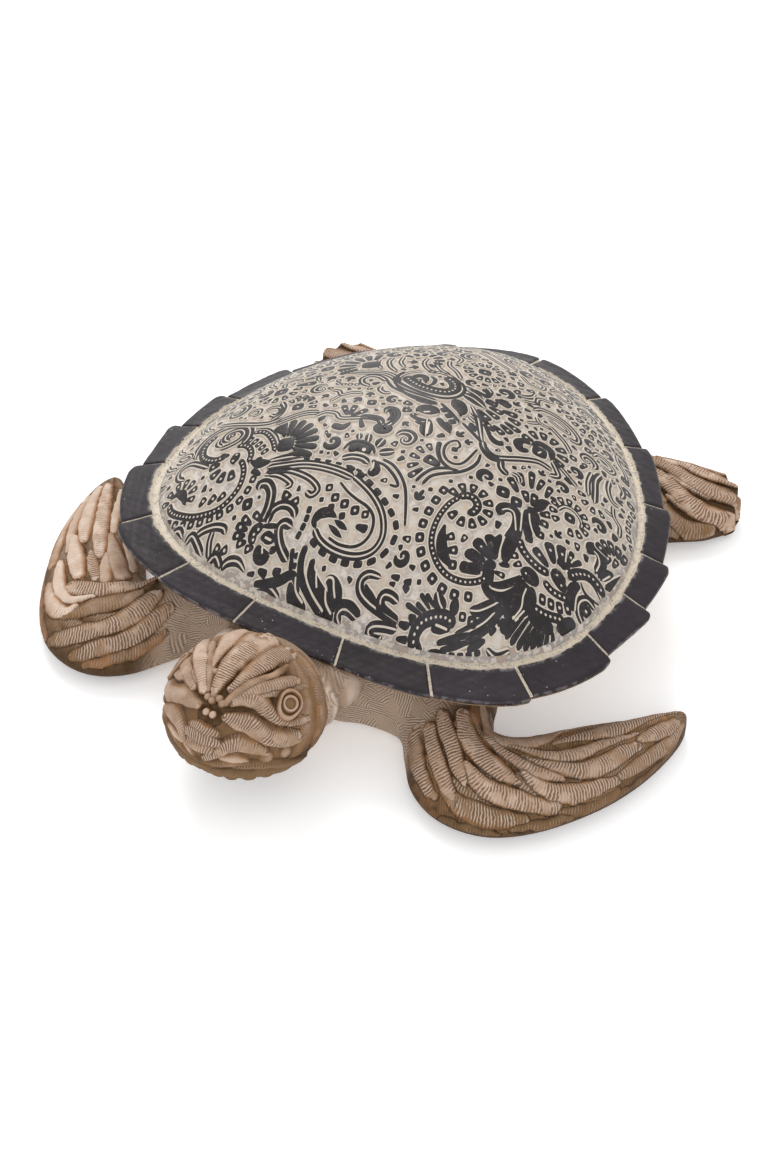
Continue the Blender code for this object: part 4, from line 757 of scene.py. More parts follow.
TOP_BIRD = (
    ("beaded", (5.6,), ((-1, 39.5), (4, 37.8), (7, 33.7), (5.7, 29.5), (0.9, 27.2), (-5.3, 26.8),
     (-11.2, 28.5), (-15.5, 31.2))),
    ("line", (1.6, 2, 2, 2, 2, 1.6), ((6.3, 40.3), (10.5, 36), (11.1, 29.9), (7.6, 25.1), (1.5, 23),
     (-6.8, 23), (-15.1, 25.1), (-18.5, 29.3), (-18, 34.5))),
    ("line", (1.4, 1.8, 1.8, 1.4), ((-19.3, 28.2), (-15.1, 23), (-6.8, 21), (4.7, 21.4))),
    ("twin", (4.4,), ((-46.3, 29.5), (-41.3, 26.8), (-33.8, 27.4), (-26.1, 29.7), (-19.9, 28.5),
     (-15.3, 25.1))),
    ("line", (1.6, 2, 2, 2), ((-15.3, 23), (-10.1, 19.5), (-2.8, 17.6), (5.5, 18.2))),
    ("line", (1.6, 1.8, 1.8, 1.4), ((-21.4, 25.1), (-15.1, 20.3), (-5.8, 18.9), (6.3, 19.9))),
    ("line", (2.6, 3.6, 3.6, 2.6), ((-12.2, 30.3), (-11, 33.9), (-7.8, 34.3), (-5.5, 31))),
    ("line", (1.6, 2.2, 2.2, 1.6), ((-6.2, 36.4), (-3.2, 34.9), (-2.2, 31.2), (-3.2, 29.3))),
    ("disc", (-8.9, 30.5), 1.6, True),
    ("lined", (3.2,), ((-25.1, 17.4), (-29, 18.5), (-31.1, 21.8), (-29.7, 25.1), (-25.5, 26),
     (-20.3, 23.7))),
    ("lined", (2.4,), ((-11.1, 38.7), (-15.3, 35.3), (-17.2, 29.9), (-15.9, 24.5))),
    ("line", (1.2, 1.8, 1.6), ((9.2, 38.9), (14, 38.7), (19, 38.9))),
    ("lined", (2.8,), ((11.1, 36.8), (15.3, 36.4), (19.2, 35.1))),
    ("lined", (4.2, 5.8, 5.4, 2.4), ((11.5, 32.8), (15.9, 32.8), (20.1, 31.6), (23.2, 30.5))),
    ("line", (3.6, 3, 2.6, 2), ((15.3, 42.2), (18.2, 41.8), (20.1, 39.5), (19, 37))),
    ("line", (4, 6.6, 5.6, 3), ((10.3, 26.6), (13.8, 24.5), (17, 21.8), (18.2, 18.7))),
    ("lined", (2, 3.4, 3, 1.8), ((18.4, 27.6), (24.2, 22.4), (29.5, 15.1), (33, 10.3))),
    ("line", (1.6, 2, 1.8), ((21.1, 14.9), (26.8, 12.6), (33, 9.9))),
    ("lined", (2.4,), ((20.5, 23.5), (24.7, 21.8))),
    ("lined", (2.4,), ((20.9, 20.5), (25.7, 18.7))),
    ("line", (2, 3.6, 1.8), ((23.6, 17.4), (25.7, 15.3), (28, 13.7))),
    ("petal", (23.6, 32.6), (30.9, 32.8), 3.7, True),
    ("petal", (23.8, 29.7), (31.3, 28.2), 3.6, True),
    ("petal", (21.1, 27.4), (29.2, 24.1), 3.8, True),
    ("petal", (20.7, 34.7), (26.3, 36.6), 4.6, True),
    ("petal", (28.8, 34.7), (35.7, 36.8), 4.4, True),
    ("petal", (32.8, 32.4), (39.2, 32.6), 3.9, True),
    ("petal", (33.2, 28.7), (41.5, 28.2), 3.5, True),
    ("petal", (32.8, 26), (39.7, 24.1), 3.8, True),
    ("petal", (31.1, 23), (37.6, 20.8), 3.6, True),
    ("petal", (24, 24.3), (33.8, 19.3), 3, True),
    ("petal", (22.8, 39.5), (30.5, 40.5), 4.8, True),
    ("line", (1.6, 2.2, 3.6, 4.2), ((28, 20.8), (32.8, 16.8), (36.8, 14.7), (40.1, 16.4))),
    ("cream", (0.9,), ((33.4, 17.6), (36.5, 16.4), (38.2, 16.8))),
    ("line", (1.6, 2.4, 2), ((7.6, 20.8), (14.2, 17.4), (19.7, 14.7))),
    ("row", (3.6, 3.4), 4, ((11.1, 17.4), (14.5, 15.1), (17.6, 12.8)), False),
    ("line", (3, 3.4, 1.8), ((11.5, 11.4), (16.1, 8.5), (20.5, 6.2))),
    ("line", (3.4, 6.6, 6.6, 3.4), ((1.5, 10.8), (3.8, 13), (7.8, 14.7), (10.3, 15.3))),
    ("cream", (1,), ((4.7, 11.4), (7, 13.2))),
    ("petal", (-1.2, 13), (-5.8, 13.2), 3.7, True),
    ("petal", (0.7, 9.7), (-3.7, 8.2), 3.8, True),
    ("line", (1.8, 2.6, 2), ((0.7, 7), (4.7, 6.2), (8.4, 7.2))),
    ("line", (1.6, 2.4, 2), ((-2, 16.8), (1.5, 17.4), (6.8, 19.3))),
    ("fan", (-17.8, 49.1), 70, 190, 8, 5, 10, 3.2, False),
    ("lined", (2.6,), ((-16.8, 52.2), (-15.3, 46.6), (-11.1, 42), (-5.7, 39.9))),
    ("lined", (2.6,), ((-12.2, 54.3), (-10.5, 49.1), (-6.3, 44.7), (-0.7, 42.6))),
    ("lined", (2.6,), ((-7.6, 55.3), (-4.9, 50.5), (0.3, 47), (4.9, 42.8))),
    ("lined", (2.8,), ((-9.9, 39.7), (-3.7, 41.8), (1.5, 41.2), (6.8, 38.7))),
    ("fan", (8.8, 57.4), -80, 150, 7, 5, 10, 3.2, True),
    ("disc", (8.8, 56.8), 3, True),
    ("fan", (8.8, 57.4), 95, 130, 6, 4.6, 9, 3, True),
    ("lined", (2.8,), ((-5.8, 78.2), (-0.5, 76.2), (5.7, 73), (13, 71))),
    ("lined", (2.8,), ((-3.7, 82.4), (1.5, 80.3), (7.8, 77.2), (15.1, 75.1))),
    ("lined", (2.6,), ((19.2, 71), (24.5, 67.8), (29.7, 69.9), (28.6, 74.1), (23.4, 74.1))),
    ("lined", (2.6,), ((-9.9, 63.7), (-4.7, 60.5), (-3.7, 55.3))),
    ("disc", (-4.7, 82.4), 2.2, True),
    ("lined", (2.8,), ((38, 63.7), (33.8, 59.5), (34.9, 54.3), (30.7, 50.1))),
    ("lined", (2.8,), ((16.1, 44.9), (19.2, 42.8), (19.2, 38.7), (13, 38.7))),
    ("disc", (26.5, 40.8), 2.4, True),
    ("disc", (22.4, 36), 2, True),
    ("disc", (-17.2, 6.6), 2.2, True),
    ("lined", (2.9,), ((-19.9, 19.1), (-19.2, 16.4), (-15.9, 15.1), (-14.2, 16.8))),
    ("lined", (2.6,), ((-38.8, 9.5), (-35.1, 9.5), (-32.4, 7.2), (-28.6, 10.3), (-24.5, 11))),
    ("lined", (2.4,), ((-32.4, 7.2), (-33.6, 4.1), (-34.7, 1.6))),
    ("row", (2.8, 2.6), 3.2, ((-40.5, 17.8), (-38.8, 15.1), (-35.7, 15.3), (-30.7, 16.6)), True),
    ("row", (2.8, 3.2), 3.2, ((-50.9, 2.2), (-47.6, 2.6), (-44.2, 2)), True),
    ("lined", (2.8,), ((-30.9, 47), (-29.9, 41.8), (-26.1, 36.6), (-21.5, 33.5))),
    ("lined", (2.6,), ((-26.8, 49.1), (-24.7, 42.8), (-20.5, 38.7))),
    ("lined", (2.6,), ((-35.1, 42.8), (-33.4, 37.6), (-28.8, 33.5))),
    ("fan", (-35.1, 35.5), 170, 130, 7, 6, 15, 3.6, False),
    ("disc", (-35.5, 36), 4.2, False),
    ("petal", (-59, 12.4), (-49.5, 14.7), 4.4, True),
    ("petal", (-58, 17.8), (-51.8, 22), 3.6, True),
    ("lined", (3,), ((-64.2, 11.6), (-66.3, 15.8), (-63.2, 18.9), (-59, 17.8))),
    ("fan", (-63.2, 7.4), -60, 150, 6, 5, 10, 3.2, True),
    ("disc", (-63.2, 7.4), 3.2, True),
    ("lined", (3,), ((-73.6, 30.3), (-72.6, 25.1), (-68.4, 22), (-64.2, 23))),
    ("lined", (2.8,), ((-76.8, 22), (-74.7, 16.8), (-70.5, 13.7))),
    ("fan", (-53.8, 30.3), 150, 170, 7, 5, 10.4, 3.4, True),
    ("disc", (-53.8, 29.9), 3.2, True),
    ("lined", (2.8,), ((-49.7, 24.1), (-51.8, 19.9), (-49.7, 16.8))),
)


# Curves and smooth shapes

def smooth_curve(points, at):
    """A curve through evenly spaced points (Catmull-Rom), read at shares 0 to 1 of its length."""
    points = np.asarray(points, float)
    last = len(points) - 1
    place = np.clip(np.atleast_1d(at), 0.0, 1.0) * last
    low = np.minimum(place.astype(int), last - 1)
    u = place - low
    if points.ndim > 1:
        u = u[:, None]
    a, b = points[low], points[low + 1]
    before = points[np.maximum(low - 1, 0)]
    after = points[np.minimum(low + 2, last)]
    slope_a, slope_b = (b - before) / 2, (after - a) / 2
    return (a * (1 + 2 * u) * (1 - u) ** 2 + slope_a * u * (1 - u) ** 2
            + b * u ** 2 * (3 - 2 * u) + slope_b * u ** 2 * (u - 1))


def measured(path):
    """A fine line along a path's points, with the run up to each of its points."""
    line = smooth_curve(path, np.linspace(0, 1, 14 * len(path)))
    return line, np.concatenate([[0.0], np.cumsum(np.linalg.norm(np.diff(line, axis=0), axis=1))])


def spot_on(line, run, at):
    """Where a line is after a run of at."""
    return np.interp(at, run, line[:, 0]), np.interp(at, run, line[:, 1])


def bump(x, centre, half_width):
    """1 at the centre, falling as a smooth hump to 0 at half_width from it."""
    t = np.clip(np.abs(np.asarray(x, float) - centre) / half_width, 0.0, 1.0)
    return (1 - t * t) ** 2


def ramp(x, low, high):
    """0 below low, 1 above high and smooth between."""
    t = np.clip((np.asarray(x, float) - low) / (high - low), 0.0, 1.0)
    return t * t * (3 - 2 * t)


def wander(points, size, seed):
    """Smooth noise between about -1 and 1 at points (N x 3), with features about size across."""
    rng = np.random.default_rng(seed)
    flat = points.reshape(-1, 3)
    total = np.zeros(len(flat))
    for _ in range(9):
        direction = rng.normal(size=3)
        direction *= math.tau / (size * rng.uniform(1.1, 2.6)) / np.linalg.norm(direction)
        total += np.sin(flat @ direction + rng.uniform(0, math.tau))
    return (total / 3.6).reshape(points.shape[:-1])


# The carapace's plan and dome

def outline(theta, half_width, front, rear, front_power, rear_power):
    """A plan outline round the carapace's centre, fuller in front than behind."""
    c, s = np.cos(theta), np.sin(theta)
    depth = np.where(s > 0, rear, front)
    power = np.where(s > 0, rear_power, front_power)
    radius = (np.abs(c / half_width) ** power + np.abs(s / depth) ** power) ** (-1 / power)
    return np.stack([radius * c, radius * s], -1)


def rim_outline(theta):
    return outline(theta, SHELL_WIDTH / 2, SHELL_FRONT, SHELL_REAR, *RIM_POWERS)


def dome_outline(theta):
    return outline(theta, SHELL_WIDTH / 2 - RIM_BAND, SHELL_FRONT - 1.07 * RIM_BAND,
                   SHELL_REAR - 1.07 * RIM_BAND, *DOME_POWERS)


def foot_table():
    """Bearing and reach of the dome's foot from the dome's top, in plan."""
    foot = dome_outline(np.linspace(-math.pi, math.pi, 2880, endpoint=False)) - DOME_TOP
    bearing = np.arctan2(foot[:, 1], foot[:, 0])
    order = np.argsort(bearing)
    return bearing[order], np.hypot(foot[:, 0], foot[:, 1])[order]


FOOT_BEARING, FOOT_REACH = foot_table()


def dome_share(plan):
    """0 at the dome's top and 1 at its foot, for plan points about the carapace's centre."""
    away = plan - DOME_TOP
    reach = np.interp(np.arctan2(away[..., 1], away[..., 0]), FOOT_BEARING, FOOT_REACH, period=math.tau)
    return np.hypot(away[..., 0], away[..., 1]) / reach


def dome_height(plan):
    share = np.clip(dome_share(plan), 0.0, 1.0)
    return RIM_HEIGHT + RIM_RISE + DOME_RISE * (1 - share ** 2.2) ** 0.86 - GROUND_SINK


def on_dome(plan, height):
    """Points over the dome's cream ground, at a height square to it."""
    step = 0.4
    slope = [(dome_height(plan + shift) - dome_height(plan - shift)) / (2 * step)
             for shift in (np.array([step, 0.0]), np.array([0.0, step]))]
    normal = np.stack([-slope[0], -slope[1], np.ones_like(slope[0])], -1)
    normal /= np.linalg.norm(normal, axis=-1, keepdims=True)
    base = np.concatenate([plan + SHELL_CENTRE, dome_height(plan)[..., None]], -1)
    return base + normal * np.asarray(height)[..., None]


# Meshes

def add_mesh(name, points, faces, attributes, material):
    """An object of quads or triangles from points in millimetres, with a number per point for each mark."""
    mesh = bpy.data.meshes.new(name)
    faces = np.asarray(faces)
    corners = faces.shape[1]
    mesh.vertices.add(len(points))
    mesh.vertices.foreach_set("co", (np.asarray(points, np.float32) * np.float32(MM)).ravel())
    mesh.loops.add(faces.size)
    mesh.loops.foreach_set("vertex_index", faces.astype(np.int32).ravel())
    mesh.polygons.add(len(faces))
    mesh.polygons.foreach_set("loop_start", np.arange(0, faces.size, corners, dtype=np.int32))
    mesh.polygons.foreach_set("loop_total", np.full(len(faces), corners, np.int32))
    mesh.update(calc_edges=True)
    mesh.validate()
    for key, values in attributes.items():
        layer = mesh.attributes.new(key, "FLOAT", "POINT")
        layer.data.foreach_set("value", np.asarray(values, np.float32).ravel())
    mesh.shade_smooth()
    mesh.materials.append(material)
    obj = bpy.data.objects.new(name, mesh)
    bpy.context.scene.collection.objects.link(obj)
    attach(obj, "root")
    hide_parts("sea_turtle")
    return obj


def grid_faces(rows, columns, wrap_columns):
    """Quads of a grid of points laid out row by row, as corner numbers."""
    shown = columns if wrap_columns else columns - 1
    r, c = np.meshgrid(np.arange(rows - 1), np.arange(shown), indexing="ij")
    following = (c + 1) % columns
    return np.stack([r * columns + c, r * columns + following,
                     (r + 1) * columns + following, (r + 1) * columns + c], -1).reshape(-1, 4)


def grid_normals(points):
    """Unit normals of a grid that closes across its rows, along column step x row step."""
    across = (np.roll(points, -1, axis=1) - np.roll(points, 1, axis=1)) / 2
    normal = np.cross(across, np.gradient(points, axis=0))
    length = np.linalg.norm(normal, axis=-1, keepdims=True)
    return normal / np.maximum(length, 1e-9)


def row_lengths(points):
    """Length along each column of a grid from its first row."""
    steps = np.linalg.norm(np.diff(points, axis=0), axis=-1)
    return np.concatenate([np.zeros((1, points.shape[1])), np.cumsum(steps, axis=0)])


# The dome's raised pattern, drawn in plan about the carapace's centre

class Pattern:
    """Collects raised shapes: plan points with their height over the ground, tone and faces.

    The tone is 0 on charcoal and 1 on cream.
    """

    def __init__(self):
        self.points, self.heights, self.tones, self.quads = [], [], [], []
        self.count = 0
        self.layer = 0

    def add(self, points, heights, tones, quads):
        self.layer += 1
        self.points.append(points)
        self.heights.append(heights + LAYER * self.layer * (heights > 0))
        self.tones.append(tones)
        self.quads.append(quads + self.count)
        self.count += len(points)

    def strip(self, path, widths, section):
        """A raised stroke along a path. section(half width) gives (across, height, tone) rows."""
        line, run = measured(path)
        total = run[-1]
        cap = min(0.5 * total, 0.5 * max(widths[0], 0.3))
        end_cap = min(0.5 * total, 0.5 * max(widths[-1], 0.3))
        middle = np.linspace(cap, total - end_cap, max(2, int((total - cap - end_cap) / STROKE_STEP) + 2))
        rounding = np.array([0.0, 0.12, 0.45])
        at = np.concatenate([cap * rounding, middle, total - end_cap * rounding[::-1]])
        centre = np.stack(spot_on(line, run, at), -1)
        heading = np.gradient(centre, axis=0)
        heading /= np.maximum(np.linalg.norm(heading, axis=1, keepdims=True), 1e-9)
        side = np.stack([-heading[:, 1], heading[:, 0]], -1)
        width = smooth_curve(widths, at / total) if len(widths) > 1 else np.full(len(at), widths[0])
        start = np.clip(1 - at / cap, 0, 1)
        finish = np.clip(1 - (total - at) / end_cap, 0, 1)
        half = 0.5 * width * np.sqrt(np.maximum(0.02, 1 - np.maximum(start, finish) ** 2))
        across, height, tone = section(half)
        points = centre[:, None] + side[:, None] * across[..., None]
        ends = np.zeros(len(at))
        ends[[0, -1]] = 1.0
        height = height * (1 - ends[:, None]) + PATTERN_FOOT * ends[:, None]
        rows, columns = across.shape
        self.add(points.reshape(-1, 2), height.ravel(), tone.ravel(), grid_faces(rows, columns, False))

    def radial(self, rim, hub, dotted):
        """A raised blob inside a closed rim of points, with a cream dimple at its hub if dotted."""
        inward = hub - rim
        reach = np.linalg.norm(inward, axis=1, keepdims=True)
        edge = np.minimum(EDGE_SLOPE, 0.35 * reach) / reach
        dimple = min(DIMPLE, 0.34 * float(reach.min()))
        halo = HALO / reach
        top = PATTERN_HEIGHT
        rings = [(rim - inward * halo, PATTERN_FOOT, 1.0), (rim - inward * halo * 0.7, top, 1.0),
                 (rim, top, 1.0), (rim + inward * edge, top + HALO_STEP, 0.0)]
        if dotted:
            rings += [(hub - inward / reach * dimple * 1.2, top + 2 * HALO_STEP, 0.0),
                      (hub - inward / reach * dimple, top, 1.0), (hub - inward / reach * 0.05, top, 1.0)]
        else:
            rings += [(rim + inward * share, top + 1.5 * HALO_STEP, 0.0) for share in (0.6, 0.97)]
        points = np.concatenate([r[0] for r in rings])
        heights = np.repeat([r[1] for r in rings], len(rim))
        tones = np.repeat([r[2] for r in rings], len(rim))
        self.add(points, heights, tones, grid_faces(len(rings), len(rim), True)[:, ::-1])

    # Strokes

    def line(self, width, path):
        self.strip(path, width, solid_section)

    def lined(self, width, path):
        self.strip(path, width, lined_section)

    def twin(self, width, path):
        self.strip(path, width, twin_section)

    def cream(self, width, path):
        """A cream line over what is already drawn."""
        self.strip(path, width, cream_section)

    def beaded(self, width, path):
        """A charcoal band with cream dots along it."""
        self.strip(path, width, solid_section)
        line, run = measured(path)
        for at in np.arange(0.5 * width[0], run[-1] - 0.3 * width[-1], DOT_SPACING):
            self.cream_dot(spot_on(line, run, at), min(DOT_RADIUS, 0.15 * width[0]))

    def cream_dot(self, centre, radius):
        centre = np.array(centre, float)
        spin = np.linspace(0, math.tau, 8, endpoint=False)
        circle = np.stack([np.cos(spin), np.sin(spin)], -1)
        points = np.concatenate([centre + circle * radius, centre + circle * radius * 0.1])
        heights = np.full(len(points), PATTERN_HEIGHT + 2.5 * HALO_STEP)
        self.add(points, heights, np.ones(len(points)), grid_faces(2, len(spin), True)[:, ::-1])

    # Blobs

    def petal(self, base, tip, width, dotted=True, point=0.0):
        """A teardrop, narrow at its base and round at its tip, or pointed at both if point is 1."""
        base, tip = np.array(base, float), np.array(tip, float)
        along = tip - base
        length = np.linalg.norm(along)
        heading = along / length
        side = np.array([-heading[1], heading[0]])
        t = (1 - np.cos(np.linspace(0, math.pi, 9))) / 2
        drop = (0.5 + 0.5 * t) * np.maximum(0.0, 1 - np.abs(2 * t - 1) ** 5) ** 0.5
        drop /= drop.max()
        half = 0.5 * width * ((1 - point) * drop + point * np.sin(math.pi * t) ** 0.9)
        half = np.maximum(half, 0.05 * width)
        right = base + heading * (length * t)[:, None] + side * half[:, None]
        left = base + heading * (length * t)[:, None] - side * half[:, None]
        rim = np.concatenate([right, left[::-1][1:-1]])
        self.radial(rim, base + along * (0.62 if point == 0 else 0.5), dotted)

    def block(self, centre, heading, length, width, dotted=True):
        """A rounded square with its length along heading."""
        spin = np.linspace(0, math.tau, 14, endpoint=False)
        c, s = np.cos(spin), np.sin(spin)
        square = np.stack([np.sign(c) * np.abs(c) ** 0.6 * length / 2,
                           np.sign(s) * np.abs(s) ** 0.6 * width / 2], -1)
        cos, sin = math.cos(heading), math.sin(heading)
        rim = np.array(centre, float) + square @ np.array([[cos, sin], [-sin, cos]])
        self.radial(rim, np.array(centre, float), dotted)

    def disc(self, centre, radius, dotted=True):
        self.block(centre, 0.4, 2 * radius, 2 * radius, dotted)

    def row(self, size, spacing, path, dotted=True):
        """Rounded squares, evenly spaced along a path and turned with it."""
        line, run = measured(path)
        count = max(2, int(round(run[-1] / spacing)) + 1)
        for at in np.linspace(0, run[-1], count):
            ahead, behind = spot_on(line, run, at + 0.3), spot_on(line, run, at - 0.3)
            heading = math.atan2(ahead[1] - behind[1], ahead[0] - behind[0])
            self.block(spot_on(line, run, at), heading, size[0], size[1], dotted)

    def fan(self, centre, towards, spread, count, inner, outer, width, dotted=True, point=0.0):
        """Petals round a centre, spread evenly about the bearing towards, in degrees."""
        for i in range(count):
            share = i / (count - 1) - 0.5 if count > 1 else 0.0
            angle = math.radians(towards + spread * share)
            way = np.array([math.cos(angle), math.sin(angle)])
            self.petal(centre + way * inner, centre + way * outer, width, dotted, point)

    def build(self, material):
        plan = np.concatenate(self.points)
        heights = np.concatenate(self.heights)
        pull = np.minimum(1.0, PATTERN_END / np.maximum(dome_share(plan), 1e-6))[:, None]
        plan = DOME_TOP + (plan - DOME_TOP) * pull
        points = on_dome(plan, heights)
        level = np.clip(heights / PATTERN_HEIGHT, 0, 1)
        attributes = {"tone": np.concatenate(self.tones), "level": level}
        quads = np.concatenate(self.quads)
        front = plan[quads[:, 0], 1] < DOME_TOP[1]
        for name, chosen in (("dome_pattern_front", front), ("dome_pattern_rear", ~front)):
            used, renumbered = np.unique(quads[chosen], return_inverse=True)
            kept = {key: values[used] for key, values in attributes.items()}
            add_mesh(name, points[used], renumbered.reshape(-1, 4), kept, material)


def section_rows(marks):
    """Rows of across, height and tone from marks of distance from the middle, height and tone."""
    distances, heights, tones = zip(*marks)
    across = np.stack(distances, -1)
    return across, np.broadcast_to(heights, across.shape), np.broadcast_to(tones, across.shape)


def banded_section(half, inner):
    """A stroke's rows: a cream border on each side, the charcoal top and what is cut into it."""
    edge = np.maximum(half - EDGE_SLOPE, 0.5 * half)
    top = PATTERN_HEIGHT
    before = [(-half - HALO, PATTERN_FOOT, 1.0), (-half - 0.7 * HALO, top, 1.0), (-half, top, 1.0),
              (-edge, top + HALO_STEP, 0.0)]
    after = [(-across, height, tone) for across, height, tone in reversed(before)]
    return section_rows(before + inner + after)


def cut_rows(middle, lip, cut):
    """A cream line cut into a stroke's charcoal top."""
    low, top = PATTERN_HEIGHT, PATTERN_HEIGHT + HALO_STEP
    return [(middle - lip, top, 0.0), (middle - cut, low, 1.0), (middle + cut, low, 1.0),
            (middle + lip, top, 0.0)]


def solid_section(half):
    return banded_section(half, [(0 * half, PATTERN_HEIGHT + 1.5 * HALO_STEP, 0.0)])


def lined_section(half):
    return banded_section(half, cut_rows(0 * half, np.minimum(CREAM_LIP, 0.3 * half),
                                         np.minimum(CREAM_CUT, 0.22 * half)))


def twin_section(half):
    return banded_section(half, cut_rows(-0.36 * half, 0.13 * half, 0.1 * half)
                          + cut_rows(0.36 * half, 0.13 * half, 0.1 * half))


def cream_section(half):
    low, top = PATTERN_HEIGHT, PATTERN_HEIGHT + 2 * HALO_STEP
    return section_rows([(-half, low, 1.0), (-0.7 * half, top, 1.0), (0.7 * half, top, 1.0),
                         (half, low, 1.0)])


# Small motifs in the gaps between the large ones

def turned(centre, radius, angle, points):
    """Points drawn in a unit circle, turned, sized and moved to a place."""
    cos, sin = math.cos(angle), math.sin(angle)
    return np.asarray(centre) + radius * np.asarray(points, float) @ np.array([[cos, sin], [-sin, cos]])


def small_motif(pattern, centre, radius, angle, kind):
    """Whatever fits a circle: petals round a curl, a curl, a sprig, a petal or a dot."""
    flip = (1, -1) if kind > 0.5 else (1, 1)
    if radius > RING_FROM:
        count = int(math.tau * (radius - 1.8) / 3.6)
        bearing = math.degrees(angle)
        if kind % 0.5 < 0.2:
            pattern.fan(centre, bearing, 360 * (1 - 1 / count), count, radius - 4.2, radius, 3.4)
        else:
            pattern.fan(centre, bearing, 230, int(0.68 * count), radius - 4.4, radius, 3.5, kind > 0.3)
            pattern.lined((1.4, 3.3, 3.4, 1.6), turned(centre, radius, angle, HOOK))
        small_motif(pattern, centre, radius - 5.0, angle + 1.0, kind)
    elif radius > CURL_FROM:
        bold = radius / 2.8
        stroke = pattern.lined if radius > BOLD_FROM else pattern.line
        stroke(tuple(bold * width for width in CURL_WIDTHS),
               turned(centre, radius - 0.7 * bold, angle, np.multiply(CURL, flip)))
        seed = turned(centre, radius, angle, np.multiply(((-0.5, 0.3), (-0.85, 0.85)), flip))
        pattern.petal(*seed, 0.6 * radius, radius > BOLD_FROM)
    elif radius > SPRIG_FROM:
        for lean, reach in ((0, 1.0), (0.8, 0.85), (-0.8, 0.85)):
            tip = (-0.9 + 1.85 * reach * math.cos(lean), 1.25 * reach * math.sin(lean))
            pattern.petal(*turned(centre, radius, angle, ((-0.9, 0.0), tip)), 0.72 * radius, False, 0.4)
    elif radius > PETAL_FROM:
        pattern.petal(*turned(centre, radius, angle, ((-1.0, 0.0), (1.0, 0.0))), 1.5 * radius, kind > 0.5)
    else:
        pattern.disc(centre, 0.9 * radius, False)


def fill_gaps(pattern):
    """Sets a small motif wherever one fits, the roomiest places first."""
    x, y = np.meshgrid(np.arange(*FILL_X, FILL_CELL), np.arange(*FILL_Y, FILL_CELL), indexing="ij")
    places = np.stack([x, y], -1)
    taken = np.concatenate(pattern.points)
    column, line = [np.clip(((taken[:, axis] - start) / FILL_CELL).round().astype(int), 0, count - 1)
                    for axis, start, count in ((0, FILL_X[0], x.shape[0]), (1, FILL_Y[0], x.shape[1]))]
    room = np.full(x.shape, FILL_ROOM)
    room[column, line] = 0.0
    for _ in range(int(FILL_ROOM / FILL_CELL)):
        for shift, step in (((0, 1), 1.0), ((1, 0), 1.0), ((1, 1), 1.414), ((1, -1), 1.414)):
            for way in (1, -1):
                beside = np.roll(room, (way * shift[0], way * shift[1]), (0, 1))
                room = np.minimum(room, beside + step * FILL_CELL)
    room = np.minimum(room, (FILL_END - dome_share(places)) * FILL_REACH)
    rng = np.random.default_rng(12)
    room -= FRONT_CROWDING * ramp(-y, -24, 6)
    while room.max() > FILL_SMALLEST:
        spot = np.unravel_index(room.argmax(), room.shape)
        middle = places[spot]
        radius = min(room[spot], rng.uniform(*FILL_LARGEST)) - FILL_MARGIN
        swirl = math.atan2(middle[1] - DOME_TOP[1], middle[0]) + rng.uniform(-0.9, 0.9) + math.pi / 2
        pattern.layer = 0
        small_motif(pattern, middle, radius - MOTIF_GAP, swirl, rng.uniform())
        room = np.minimum(room, np.hypot(x - middle[0], y - middle[1]) - radius + FILL_MARGIN)


def build_pattern(material):
    """The motifs seen from the photograph's side, and small ones wherever there is room."""
    pattern = Pattern()
    for motifs in (COMMA, PALMETTE, DOTTED_BIRD, DOTTED_CURL, RIGHT_SPRAY, FRONT_EDGE, MIDDLE, UPPER_RIGHT,
                   TOP_BIRD):
        for kind, *numbers in motifs:
            getattr(pattern, kind)(*numbers)
    fill_gaps(pattern)
    pattern.build(material)


# The dome's ground and the ring of slates

def build_ground(material):
    """The cream dome, slightly uneven, down into the grout channel round its foot."""
    theta = np.linspace(0, math.tau, 340, endpoint=False)
    shares = np.concatenate([np.linspace(0.0, 0.9, 66), np.linspace(0.91, 1.0, 12)])
    plan = DOME_TOP + (dome_outline(theta)[None] - DOME_TOP) * shares[:, None, None]
    flat = on_dome(plan, np.zeros(plan.shape[:-1]))
    uneven = 0.07 * wander(flat, 9.0, 3) + 0.035 * wander(flat, 3.0, 4)
    points = on_dome(plan, uneven * (1 - ramp(shares, 0.97, 1.0))[:, None])
    level = np.broadcast_to(shares[:, None], plan.shape[:-1])
    faces = grid_faces(len(shares), len(theta), True)
    add_mesh("dome_ground", points.reshape(-1, 3), faces, {"edge": level}, material)


def slate_columns():
    """Angles round the rim with each one's slate, share of that slate's length and whether it is a joint."""
    left = list(JOINT_DEGREES)
    joints = np.radians(left + [180.0 - degrees for degrees in reversed(left[:-1])])
    half = JOINT_WIDTH / SHELL_WIDTH
    theta, slate, share, groove = [], [], [], []
    for i, start in enumerate(joints):
        end = joints[(i + 1) % len(joints)] + (math.tau if i + 1 == len(joints) else 0.0)
        length = end - start - 2 * half
        count = int(length * SLATE_RADIUS / SLATE_STEP)
        inner = np.concatenate([(0.0, 0.004, 0.012, 0.024), np.linspace(0.04, 0.96, count),
                                (0.976, 0.988, 0.996, 1.0)])
        theta += [start - 0.6 * half, start + 0.6 * half] + list(start + half + length * inner)
        slate += [i] * (len(inner) + 2)
        share += [0.0, 0.0] + list(inner)
        groove += [1.0, 1.0] + [0.0] * len(inner)
    return np.array(theta), np.array(slate), np.array(share), np.array(groove)


def corner_out(slate, share):
    """How far a slate's outer edge stands out at a share of its length from its front end."""
    left = list(CORNERS_OUT[1:])
    sizes = np.array(left + left[::-1] + [CORNERS_OUT[0]])
    towards_rear = np.where(slate >= len(JOINT_DEGREES) - 1, 1 - share, share)
    rounded = np.minimum(1.0, (1 - towards_rear) / (1 - CORNER_START)) ** 0.5
    return sizes[slate] * towards_rear ** 1.3 * (0.45 + 0.55 * rounded)


